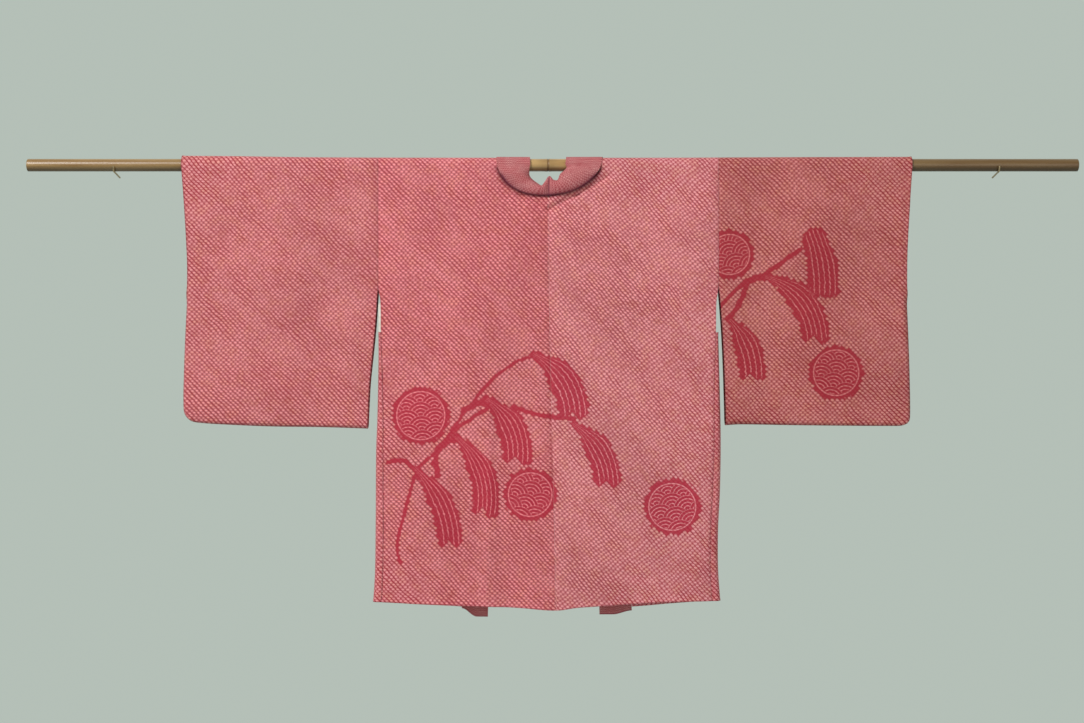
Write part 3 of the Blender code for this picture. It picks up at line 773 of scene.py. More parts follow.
@dataclass(frozen=True)
class GatheredSilk:
    """The collar's cloth: the same silk, paler, drawn into fine rows of dots across the band."""

    name: str = "gathered_silk"
    groove: Colour = (0.340, 0.035, 0.050)
    dot: Colour = (0.660, 0.250, 0.255)
    pale: Colour = (0.700, 0.330, 0.330)
    # Colour of the painted shade on the collar's lower part round the neck and in its centre notch, and of its
    # darker ends.
    shade_and_dark_edges: Colour = (0.120, 0.012, 0.040)
    row_pitch: float = 3.7
    dot_pitch: float = 3.9

    def material(self) -> bpy.types.Material:
        """The finish, with its colour and its relief."""
        w = Wiring(self.name, 0.72, Specular_IOR_Level=0.18, Sheen_Weight=0.08, Sheen_Roughness=0.45)
        across, along, place = w.cloth_place()
        shifted = w.drifted(along, place, 9, 5.0)
        drawn = w.drifted(across, w.join(along, across, 4.0), 9, 5.0)
        row = w.math("COSINE", w.math("MULTIPLY", shifted, 2 * math.pi / self.row_pitch))
        knot = w.math("COSINE", w.math("MULTIPLY", drawn, 2 * math.pi / self.dot_pitch))
        height = w.math("MULTIPLY_ADD", w.math("MULTIPLY", row, knot), 0.5, w.math("MULTIPLY", row, 0.28))
        light = w.fade(height, -0.75, 0.8)
        patch = w.fade(w.noise(place, 1 / 26, 2), 0.35, 0.7)
        colour = w.mix(light, self.groove, w.mix(patch, self.dot, self.pale))
        fibre = w.noise(place, 1 / 0.9, 2, 0.6)
        colour = w.shade(colour, w.fade(fibre, 0.2, 0.8, 0.86, 1.1))
        # Painted shade round the neck, lower edge and centre notch, and darker ends, mixed in from a mesh
        # attribute.
        colour = w.mix(w.attribute("dark_edges_and_painted_shade").outputs["Fac"], colour, self.shade_and_dark_edges)
        normal = w.dent(fibre, 0.0002, 0.5)
        normal = w.dent(light, 0.0007, 0.5, normal)
        return w.finish(colour, normal)


@dataclass(frozen=True)
class PlainSilk:
    """Plain white lining silk, a little yellowed."""

    name: str = "white_lining_silk"
    clean: Colour = (0.80, 0.78, 0.72)
    aged: Colour = (0.70, 0.65, 0.54)

    def material(self) -> bpy.types.Material:
        """The finish, with its colour and its weave."""
        w = Wiring(self.name, 0.5, Sheen_Weight=0.2, Specular_IOR_Level=0.35)
        across, along, place = w.cloth_place()
        stain = w.fade(w.noise(place, 1 / 14, 3), 0.45, 0.75)
        warp = w.math("PINGPONG", w.math("DIVIDE", across, 0.5), 0.5)
        weft = w.math("PINGPONG", w.math("DIVIDE", along, 0.6), 0.5)
        colour = w.mix(stain, self.clean, self.aged)
        return w.finish(colour, w.dent(w.math("ADD", warp, weft), 0.0001, 0.4))


@dataclass(frozen=True)
class Bamboo:
    """Golden bamboo, sanded and worn smooth, darker at its nodes, with painted shade below."""

    name: str = "golden_bamboo"
    pale: Colour = (0.560, 0.360, 0.150)
    golden: Colour = (0.400, 0.225, 0.075)
    brown: Colour = (0.150, 0.066, 0.016)

    def material(self, nodes: Sequence[float]) -> bpy.types.Material:
        """The finish.

        Args:
            nodes: places of the bamboo's nodes along the rod, in millimetres.

        Returns:
            The material.
        """
        w = Wiring(self.name, 0.36, Specular_IOR_Level=0.5, Coat_Weight=0.15, Coat_Roughness=0.25)
        place = w.node("TexCoord").outputs["Object"]
        x, y, z = w.split(w.node("VectorMath", place, (1 / METRES,) * 3, operation="MULTIPLY").outputs[0])
        drawn = w.join(w.math("MULTIPLY", x, 0.012), y, z)
        fibre = w.noise(drawn, 1.1, 4, 0.65)
        stretched = w.node("VectorMath", w.join(x, y, z), (0.035, 0.6, 0.6), operation="MULTIPLY")
        broad = w.noise(stretched.outputs[0], 0.16, 3)
        colour = w.mix(w.fade(broad, 0.35, 0.66), self.pale, self.golden)
        colour = w.mix(w.fade(x, 150.0, 800.0, 0.0, 0.55), colour, self.brown)
        colour = w.shade(colour, w.fade(w.math("ABSOLUTE", x), 100.0, 600.0, 1.0, 0.62))
        streak = w.math("MULTIPLY", w.fade(fibre, 0.52, 0.72), 0.55)
        colour = w.mix(streak, colour, self.brown)
        speck = w.noise(w.join(w.math("MULTIPLY", x, 0.35), y, z), 0.8, 2)
        colour = w.mix(w.fade(speck, 0.66, 0.78, 0.0, 0.5), colour, self.brown)
        closeness: Value = 99.0
        for node in nodes:
            closeness = w.math("MINIMUM", closeness, w.math("ABSOLUTE", w.math("SUBTRACT", x, float(node))))
        colour = w.mix(w.fade(closeness, 3.2, 0.8, 0.0, 0.7), colour, self.brown)
        colour = w.mix(w.fade(closeness, 26.0, 4.0, 0.0, 0.28), colour, self.brown)
        # Painted shade: darker towards the underside.
        colour = w.shade(colour, w.fade(z, 1.0, -9.0, 1.0, 0.4))
        normal = w.dent(fibre, 0.0003, 0.35)
        return w.finish(colour, normal)


@dataclass(frozen=True)
class HookWire:
    """Brassy wire, dulled with age."""

    name: str = "hook_wire"
    bright: Colour = (0.55, 0.42, 0.24)
    dull: Colour = (0.20, 0.15, 0.10)

    def material(self) -> bpy.types.Material:
        """The finish."""
        w = Wiring(self.name, 0.38, Metallic=0.9)
        place = w.node("TexCoord").outputs["Object"]
        tarnish = w.fade(w.noise(place, 320, 3), 0.4, 0.7)
        colour = w.mix(tarnish, self.bright, self.dull)
        return w.finish(colour, w.dent(w.noise(place, 900, 2), 0.0001, 0.3))


class Cut(NamedTuple):
    """A piece of cloth on its pattern, as a grid of points with rows along one side."""

    points: Array
    x: Array
    run: Array
    edge: Array
    # How much painted shade, or darker colour at edges and seams, each point gets.
    shade_and_dark_edges: Array
    twins: list[tuple[Place, Place]] = []


@dataclass(frozen=True)
class ClothPiece:
    """One cut and sewn piece: a thin closed shell round its middle surface."""

    node: str
    slot: str
    wall: float = 1.3
    hem_wall: float = 2.4
    sharp: float = 50

    @property
    def name(self) -> str:
        """The shown piece's name."""
        return self.node + "_cloth"

    def flat_area(self, cut: Cut) -> float:
        """Area of the flat piece in square metres, cell by cell."""
        across_x = (cut.x[1:, 1:] - cut.x[:-1, :-1]), (cut.x[1:, :-1] - cut.x[:-1, 1:])
        across_run = (cut.run[1:, 1:] - cut.run[:-1, :-1]), (cut.run[1:, :-1] - cut.run[:-1, 1:])
        cells = np.abs(across_x[0] * across_run[1] - across_x[1] * across_run[0]) / 2
        return float(cells.sum()) * METRES ** 2

    def shell(self, cut: Cut, material: bpy.types.Material, dyeing: Dyeing) -> bpy.types.Object:
        """Builds the piece's mesh.

        Args:
            cut: the piece on its pattern, and its points in space.
            material: its finish.
            dyeing: its dyed design.

        Returns:
            The object, with its wall made.
        """
        rows, columns = cut.x.shape
        index = np.arange(rows * columns).reshape(rows, columns)
        for (row, column), (other_row, other_column) in cut.twins:
            index[other_row, other_column] = index[row, column]
        kept, number = np.unique(index, return_inverse=True)
        number = number.reshape(rows, columns)
        corners = [(slice(None, -1), slice(None, -1)), (slice(None, -1), slice(1, None))]
        corners += [(slice(1, None), slice(1, None)), (slice(1, None), slice(None, -1))]
        faces = np.stack([number[corner] for corner in corners], axis=-1).reshape(-1, 4)
        mesh = bpy.data.meshes.new(self.name)
        points = cut.points.reshape(-1, 3)[kept] * METRES
        mesh.from_pydata(points.tolist(), [], faces.tolist())
        mesh.shade_smooth()
        flat = np.stack([cut.x, cut.run], axis=-1) * METRES
        flat = np.stack([flat[corner] for corner in corners], axis=-2).reshape(-1, 2)
        mesh.uv_layers.new(name="cut").uv.foreach_set("vector", flat.ravel())
        numbers = dyeing.attributes(cut.x.ravel()[kept], cut.run.ravel()[kept])
        # Painted shade and darker edges, read by the finish.
        numbers["dark_edges_and_painted_shade"] = np.clip(cut.shade_and_dark_edges.ravel()[kept], 0, 1)
        for name, values in numbers.items():
            kind, key = ("FLOAT", "value") if values.ndim == 1 else ("FLOAT_VECTOR", "vector")
            mesh.attributes.new(name, kind, "POINT").data.foreach_set(key, values.ravel())
        mesh.materials.append(material)
        shown = bpy.data.objects.new(self.name, mesh)
        bpy.context.collection.objects.link(shown)
        self.give_wall(shown, cut.edge.ravel()[kept])
        return shown

    def give_wall(self, shown: bpy.types.Object, edge: Array) -> None:
        """Thickens the sheet into a wall, more at its folded edges."""
        folded = shown.vertex_groups.new(name="folded_edge")
        for vertex in np.flatnonzero(edge > 0.01):
            folded.add([int(vertex)], float(edge[vertex]), "REPLACE")
        thick = shown.modifiers.new("wall", "SOLIDIFY")
        thick.thickness = self.hem_wall * METRES
        thick.offset = 0
        thick.vertex_group = folded.name
        thick.thickness_vertex_group = self.wall / self.hem_wall
        graph_now = bpy.context.evaluated_depsgraph_get()
        walled = bpy.data.meshes.new_from_object(
            shown.evaluated_get(graph_now), preserve_all_data_layers=True, depsgraph=graph_now
        )
        walled.set_sharp_from_angle(angle=math.radians(self.sharp))
        shown.modifiers.clear()
        shown.data = walled

    def hang_in_frame(self, shown: bpy.types.Object, flat: Place, area: float) -> None:
        """Attaches the piece to the root, hides the CAD part it replaces, and logs its faces and cut size."""
        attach(shown, "root")
        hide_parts(self.node)
        LOG.info("%s: %d faces, cut %.3f by %.3f m", shown.name, len(shown.data.polygons), *flat)


class Form(NamedTuple):
    """The edges of one side of the body, as (z, x) pairs, and its two hems at the front."""

    panel_edge: list[Place]
    gusset_edge: list[Place]
    collar_seam: list[Place]
    collar_edge: list[Place]
    collar_end: Place
    front_hem: Place


FORMS = {
    Side.LEFT: Form(
        panel_edge=[
            (-778, -296), (-724, -293.6), (-636, -292.6), (-508, -293), (-451, -292.8),
            (-350, -295.2), (-298, -297), (-245, -297.8), (-226, -301), (-216, -302.3),
            (-206, -302.4), (0, -302.4),
        ],
        gusset_edge=[
            (-778, -312), (-724, -308.8), (-636, -307.6), (-508, -306.7), (-451, -304.5),
            (-348, -302.4), (-298, -302.4),
        ],
        collar_seam=[(-800, -155), (-520, -139), (-250, -117), (-90, -100), (0, -93.5)],
        collar_edge=[(-800, -108), (-520, -90), (-250, -66), (-90, -45), (0, -33)],
        collar_end=(-792, -807),
        front_hem=(-779, -789),
    ),
    Side.RIGHT: Form(
        panel_edge=[
            (-777, 290.6), (-717, 287.4), (-649, 287.8), (-581, 291.5), (-490, 294.2),
            (-397, 294.6), (-350, 296), (-298, 297.8), (-245, 298.6), (-226, 301.4),
            (-214, 302.8), (-204, 302.9), (0, 302.9),
        ],
        gusset_edge=[
            (-777, 306.9), (-717, 303), (-649, 303), (-581, 306.3), (-490, 307.6),
            (-397, 305.8), (-348, 304.4), (-298, 302.9),
        ],
        collar_seam=[(-800, 150), (-520, 141), (-250, 124), (-90, 108), (0, 100)],
        collar_edge=[(-800, 92), (-520, 82), (-250, 62), (-90, 43), (0, 35)],
        collar_end=(-796, -803),
        front_hem=(-778, -789),
    ),
}
CENTRE_SEAM = [(14, -792), (11, -640), (6, -450), (1, -200), (0, -53.5)]
BACK_HEM = [
    (-296, -777), (-231, -780.2), (-179, -782.8), (-106, -785.2), (-47, -787.6), (14, -792),
    (50, -787.2), (94, -784), (144, -781), (203, -777.6), (291, -775),
]
NECKLINE = {
    Side.LEFT: [(0, -53.5), (-32, -51.4), (-53, -45), (-73, -32.5), (-85, -17), (-91, 0)],
    Side.RIGHT: [
        (0, -53.5), (14, -52.4), (37, -47.6), (59, -38.6), (78, -25.5), (90, -12), (94.5, 0),
    ],
}
SEAM_GAP = 0.3
UNDERARM_TOP = -226
UNDERARM_LOW = -298


@dataclass(frozen=True)
class SeamDip:
    """How cloth turns in at a seam, with the small puckers of its stitches."""

    depth: float = 1.1
    width: float = 2.8
    pucker: float = 0.28
    pucker_length: float = 15
    pucker_width: float = 14

    def lift(self, distance: Array, along: Array) -> Array:
        """Lift of the cloth at a distance from the seam and a place along it."""
        wave = np.sin(along * 2 * math.pi / self.pucker_length + 2.2 * np.sin(along / 37))
        return -self.depth * near(distance, self.width) + self.pucker * wave * near(
            distance, self.pucker_width
        )


SEAM = SeamDip()


@dataclass(frozen=True)
class BodyPanel(ClothPiece):
    """Half of the body: one length of cloth from the back hem over the shoulder to the front hem."""

    side: Side = Side.LEFT
    columns: int = 84
    back_rows: int = 230
    neck_rows: int = 16
    rod_rows: int = 16
    front_rows: int = 150
    neck_side: float = -62
    row_closeness: float = 1.25
    edge_width: float = 7
    flat: Place = (0.318, 1.628)

    def ends(self) -> tuple[Array, Array]:
        """Both ends of each row of the grid, as (x, run), and each row's share of the hem."""
        form, sign = FORMS[self.side], self.side.sign
        edge = graph(form.panel_edge)
        collar_seam = graph(form.collar_seam)
        centre = graph([(z, x) for x, z in CENTRE_SEAM])
        hem, centre_hem = form.panel_edge[0][0], CENTRE_SEAM[0][1]
        centre_neck = CENTRE_SEAM[-1][1]
        even = graded(self.back_rows, -hem, (1.2, 2.6, 4.4), True, False)
        share = 1 - (1 - even) ** self.row_closeness
        low = mixed(centre_hem, centre_neck, share)
        side_z = mixed(hem, self.neck_side, share)
        outer = [np.stack([edge(side_z) - sign * SEAM_GAP / 2, side_z], -1)]
        inner = [np.stack([centre(low) + sign * SEAM_GAP / 2, low], -1)]
        inner[0][-1, 1] -= SEAM_GAP
        steps = np.arange(1, self.neck_rows + 1) / self.neck_rows
        side_z = self.neck_side * (1 - steps)
        outer.append(np.stack([edge(side_z) - sign * SEAM_GAP / 2, side_z], -1))
        neck = outline(NECKLINE[self.side])(steps)
        inner.append(neck * (1 + SEAM_GAP / np.linalg.norm(neck, axis=-1))[:, None])
        steps = np.arange(1, self.rod_rows + 1) / self.rod_rows
        run = HANGING.over_rod * steps
        shoulder = np.full_like(run, edge(0) - sign * SEAM_GAP / 2)
        outer.append(np.stack([shoulder, run], -1))
        seam_x = mixed(NECKLINE[self.side][-1][0], collar_seam(0), steps) + sign * SEAM_GAP
        inner.append(np.stack([seam_x, run], -1))
        steps = graded(self.front_rows, -hem, (1.2, 2.6, 4.4), False, True)[1:]
        side_z, inner_z = form.front_hem[0] * steps, form.front_hem[1] * steps
        outer.append(np.stack([edge(side_z) - sign * SEAM_GAP / 2, HANGING.over_rod - side_z], -1))
        inner.append(
            np.stack([collar_seam(inner_z) + sign * SEAM_GAP, HANGING.over_rod - inner_z], -1)
        )
        hem_share = np.zeros(sum(len(rows) for rows in outer))
        hem_share[: len(share)] = (1 - share) ** 2
        return np.concatenate(outer), np.concatenate(inner), hem_share

    def cut(self) -> Cut:
        """The panel on its pattern and in space."""
        outer, inner, hem_share = self.ends()
        form = FORMS[self.side]
        shares = graded(self.columns, 300, (0.9, 2.2, 4, 6.5), True, True)[None, :]
        x = mixed(outer[:, :1], inner[:, :1], shares)
        run = mixed(outer[:, 1:], inner[:, 1:], shares)
        straight_hem = mixed(form.panel_edge[0][0], CENTRE_SEAM[0][1], shares)
        run = run + hem_share[:, None] * (graph(BACK_HEM)(x) - straight_hem)
        z = np.where(run <= 0, run, HANGING.over_rod - run)
        from_side = np.abs(x - outer[:, :1])
        from_inner = np.abs(x - inner[:, :1])
        open_side = eased((UNDERARM_TOP - z) / 5) * eased((z - UNDERARM_LOW) / 5)
        lift = SEAM.lift(from_side, run) * (1 - open_side) * (np.abs(z) > 1)
        lift += SEAM.lift(from_inner, run + 40) * (run < CENTRE_SEAM[-1][1])
        lift *= eased(-z / 24)
        to_hem = np.where(run < 0, run - run[:1], run[-1:] - run)
        edge = 1 - eased(to_hem / self.edge_width)
        edge = np.maximum(edge, (1 - eased(from_side / self.edge_width)) * open_side)
        lift += 0.5 * edge * (to_hem < self.edge_width)
        # Darker lines along the hem and side seam, and painted shadow under the collar's lower edge; on the back
        # only.
        shade_and_dark_edges = 0.6 * near(to_hem, 1.6) + 0.3 * near(from_side, 1.2)
        under_collar = line_distance(NECKLINE[self.side], x, run)
        shade_and_dark_edges = np.maximum(shade_and_dark_edges, 0.85 * near(under_collar, 5.5)) * (run < 0)
        return Cut(HANGING.hung(x, run, lift), x, run, edge, shade_and_dark_edges)

    def build(self, finish: TiedSilk, dyeing: Dyeing) -> None:
        """Builds and dresses the panel."""
        cut = self.cut()
        shown = self.shell(cut, finish.material(), dyeing)
        self.hang_in_frame(shown, self.flat, self.flat_area(cut))


@dataclass(frozen=True)
class Gusset(ClothPiece):
    """The narrow strip that closes the side below the underarm opening, curved from the back
    panel's edge to the front panel's."""

    side: Side = Side.LEFT
    columns: int = 18
    rows: int = 110
    cad_wall: float = 1.6
    flat_width: float = 0.062

    def cut(self) -> Cut:
        """The strip on its pattern and in space."""
        form, sign = FORMS[self.side], self.side.sign
        steps = graded(self.rows, 480, (1.2, 2.6, 4.4), True, True)[:, None]
        hem = float(graph(BACK_HEM)(form.panel_edge[0][1]))
        z = mixed(hem, UNDERARM_LOW, steps)
        seam_x = graph(form.panel_edge)(z) + sign * SEAM_GAP / 2
        reach = graph(form.gusset_edge)(z) - sign * self.cad_wall / 2 - seam_x
        back_y = -HANGING.depth(BACK_FOLDS, seam_x, z)
        front_y = HANGING.depth(FRONT_FOLDS, seam_x, z)
        angle = np.linspace(0, math.pi, self.columns + 1)[None, :]
        y = mixed(back_y, front_y, eased((1 - np.cos(angle)) / 2))
        x = seam_x + reach * np.sin(angle)
        points = np.stack(np.broadcast_arrays(x, y, z), -1)
        steps_across = np.linalg.norm(np.diff(points, axis=1), axis=-1)
        across = np.concatenate([np.zeros((len(z), 1)), np.cumsum(steps_across, axis=1)], axis=1)
        edge = np.maximum(1 - eased((z - z[0]) / 7), 1 - eased((z[-1] - z) / 5))
        edge = np.broadcast_to(edge * np.sin(angle) ** 0.5, across.shape)
        run = np.broadcast_to(z, across.shape) + 0 * across
        # Darker lines along the hem and seam edge.
        shade_and_dark_edges = 0.6 * near(z - z[0], 1.6) + 0.3 * near(across, 1.2)
        return Cut(points, seam_x[0, 0] + sign * across, run, edge, shade_and_dark_edges)

    def build(self, finish: TiedSilk, dyeing: Dyeing) -> None:
        """Builds and dresses the strip."""
        cut = self.cut()
        shown = self.shell(cut, finish.material(), dyeing)
        length = float(cut.run.max() - cut.run.min()) * METRES
        self.hang_in_frame(shown, (self.flat_width, length), self.flat_area(cut))


class SleeveForm(NamedTuple):
    """A sleeve's inner edge from the rod down, outer edge from the rod down, and bottom edge from
    the inner corner outwards, all as (x, z)."""

    inner: list[Place]
    outer: list[Place]
    bottom: list[Place]


SLEEVE_FORMS = {
    Side.LEFT: SleeveForm(
        inner=[
            (-302.4, 0), (-302.4, -206), (-302.5, -221), (-303.8, -241), (-307.4, -291),
            (-312.4, -341), (-317.4, -391), (-321.3, -469),
        ],
        outer=[
            (-652, 0), (-648, -55), (-643, -140), (-641.5, -190), (-643, -240), (-646.5, -310),
            (-649.5, -400), (-649.2, -434), (-647.4, -443), (-642.5, -451),
        ],
        bottom=[
            (-321.3, -469), (-400, -466.5), (-499, -465), (-590, -461), (-622, -458.6),
            (-634, -456.4), (-642.5, -451),
        ],
    ),
    Side.RIGHT: SleeveForm(
        inner=[
            (302.9, 0), (302.9, -204), (303.2, -218), (306.2, -253), (309.7, -301),
            (312.6, -360), (314.5, -417), (315.6, -463),
        ],
        outer=[
            (647, 0), (642.5, -70), (638.5, -146), (638, -223), (640.5, -285), (643, -350),
            (644.5, -410), (644.6, -445), (643.8, -454), (640, -460),
        ],
        bottom=[
            (315.6, -463), (342, -461.5), (440, -463), (538, -464), (610, -464.3),
            (630, -463.8), (640, -460),
        ],
    ),
}


@dataclass(frozen=True)
class Sleeve(ClothPiece):
    """One sleeve, of cloth folded at the top, sewn along the bottom and round the lower corner up
    to the cuff. The cuff, armhole and inner edge are open."""

    side: Side = Side.LEFT
    columns: int = 66
    rows: int = 90
    rod_rows: int = 16
    round_rows: int = 6
    fold_round: float = 8
    cuff_bottom: float = -222
    cuff_closing: float = 34
    edge_width: float = 7
    flat: Place = (0.352, 0.976)

    def shares(self, steps: int, length: float, close_start: bool) -> Array:
        """Shares of a length, evenly spaced and closing up round a sewn edge at its end."""
        flat = 1 - self.fold_round / length
        even = graded(steps, length * flat, (0.9, 2.2, 4, 6.5), close_start, False) * flat
        turns = math.pi / 2 * np.arange(1, self.round_rows + 1) / self.round_rows
        return np.concatenate([even, 1 - self.fold_round / length * (1 - np.sin(turns))])

    def round_off(self, distance: Array) -> Array:
        """Share of the full half depth at a distance from a sewn edge."""
        left = 1 - np.clip(distance / self.fold_round, 0, 1)
        return np.sqrt(np.clip(1 - left * left, 0, 1))

    def cut(self) -> Cut:
        """The sleeve on its pattern and in space."""
        form, sign = SLEEVE_FORMS[self.side], self.side.sign
        corners = np.array([form.inner[0], form.outer[0], form.inner[-1], form.outer[-1]], float)
        width = abs(corners[1][0] - corners[0][0])
        length = -corners[2][1]
        s = self.shares(self.columns, width, True)[None, :, None]
        t = self.shares(self.rows, length, False)[::-1][:, None, None]
        top = np.concatenate([mixed(corners[0][0], corners[1][0], s), 0 * s], axis=-1)
        low, inner, outer = (
            outline(form.bottom)(s[..., 0]), outline(form.inner)(t[..., 0]), outline(form.outer)(t[..., 0]),
        )
        flat = mixed(top, low, t) + mixed(inner, outer, s)
        flat = flat - mixed(mixed(corners[0], corners[1], s), mixed(corners[2], corners[3], s), t)
        s, t = s[..., 0], t[..., 0]
        x, z = flat[..., 0] + sign * SEAM_GAP / 2 * (1 - s), flat[..., 1]
        sewn = eased((self.cuff_bottom - z) / self.cuff_closing)
        closed = self.round_off((1 - t) * length) * mixed(1, self.round_off((1 - s) * width), sewn)
        from_armhole, from_cuff = s * width, (1 - s) * width
        sewn_on = eased((z - UNDERARM_TOP) / 6)
        lift = SEAM.lift(from_armhole, z) * sewn_on * eased(-z / 24)
        edge = (1 - eased(from_armhole / self.edge_width)) * (1 - sewn_on)
        edge = np.maximum(edge, (1 - eased(from_cuff / self.edge_width)) * (1 - sewn))
        edge = edge * closed
        # Darker lines along the cuff, armhole and bottom edge.
        shade_and_dark_edges = 0.55 * near(from_cuff, 1.6) + 0.3 * near(from_armhole, 1.2)
        shade_and_dark_edges = np.maximum(shade_and_dark_edges, 0.55 * near((1 - t) * length, 2.2))
        over = np.arange(1, self.rod_rows)[:, None] / self.rod_rows * HANGING.over_rod
        across = np.broadcast_to(x[-1:], (self.rod_rows - 1, x.shape[1]))
        run = np.concatenate([z, over + 0 * across, HANGING.over_rod - z[::-1]])
        x = np.concatenate([x, across, x[::-1]])
        flatness = np.concatenate([closed, 1 + 0 * across, closed[::-1]])
        lift = np.concatenate([lift, 0 * across, lift[::-1]])
        edge = np.concatenate([edge, edge[-1:] + 0 * across, edge[::-1]])
        shade_and_dark_edges = np.concatenate([shade_and_dark_edges, shade_and_dark_edges[-1:] + 0 * across, shade_and_dark_edges[::-1]])
        rows, columns = x.shape
        twins = [((0, column), (rows - 1, column)) for column in range(columns)]
        last = columns - 1
        for row in range(1, len(z)):
            if closed[row, last] < 1e-9:
                twins.append(((row, last), (rows - 1 - row, last)))
        points = HANGING.hung(x, run, lift * flatness, flatness)
        seam_rows = flatness < 0.999
        points[seam_rows, 1] *= np.clip(flatness[seam_rows] * 4, 0, 1)
        return Cut(points, x, run, edge, shade_and_dark_edges, twins)

    def build(self, finish: TiedSilk, dyeing: Dyeing) -> None:
        """Builds and dresses the sleeve."""
        cut = self.cut()
        shown = self.shell(cut, finish.material(), dyeing)
        self.hang_in_frame(shown, self.flat, self.flat_area(cut))


class Neck(NamedTuple):
    """The collar at one place round the back of the neck: its lower line at the seam, its upper
    line, how far it rolls over, and how far it stands out."""

    seam_x: float
    seam_z: float
    edge_x: float
    edge_z: float
    roll: float
    bulge: float


COLLAR_NECK = [
    Neck(-91, 0, -32, 0, 0, 0),
    Neck(-85, -16, -31, -12, 0.3, 2.5),
    Neck(-73, -31, -28, -23, 0.6, 4.5),
    Neck(-53, -43.5, -19.5, -33, 0.9, 6),
    Neck(-32, -50, -11, -38.5, 1, 6.5),
    Neck(-9, -52.4, -5.5, -32, 1, 6),
    Neck(1, -52.8, 2, -22, 1, 2.6),
    Neck(12, -51.2, 9, -28.5, 1, 6),
    Neck(36, -46.5, 17.5, -28.5, 1, 7),
    Neck(58, -37.5, 21.5, -17, 0.9, 6),
    Neck(77, -24.5, 25.5, -9.5, 0.6, 4.5),
    Neck(89, -11.5, 28.5, -4, 0.3, 2.5),
    Neck(94.5, 0, 30.5, 0, 0, 0),
]


class Rolled(NamedTuple):
    """One place across the rolled collar: shares of its width and bulge, and its inward turn."""

    width: float
    bulge: float
    turn: float


ROLLED_SECTION = [
    Rolled(0.01, 0, 0), Rolled(0.10, 0.58, 0), Rolled(0.32, 0.95, 0), Rolled(0.58, 1, 0),
    Rolled(0.82, 0.78, 0), Rolled(0.97, 0.30, 1), Rolled(1.00, 0, 5), Rolled(0.94, 0, 10),
    Rolled(0.78, 0, 14),
]


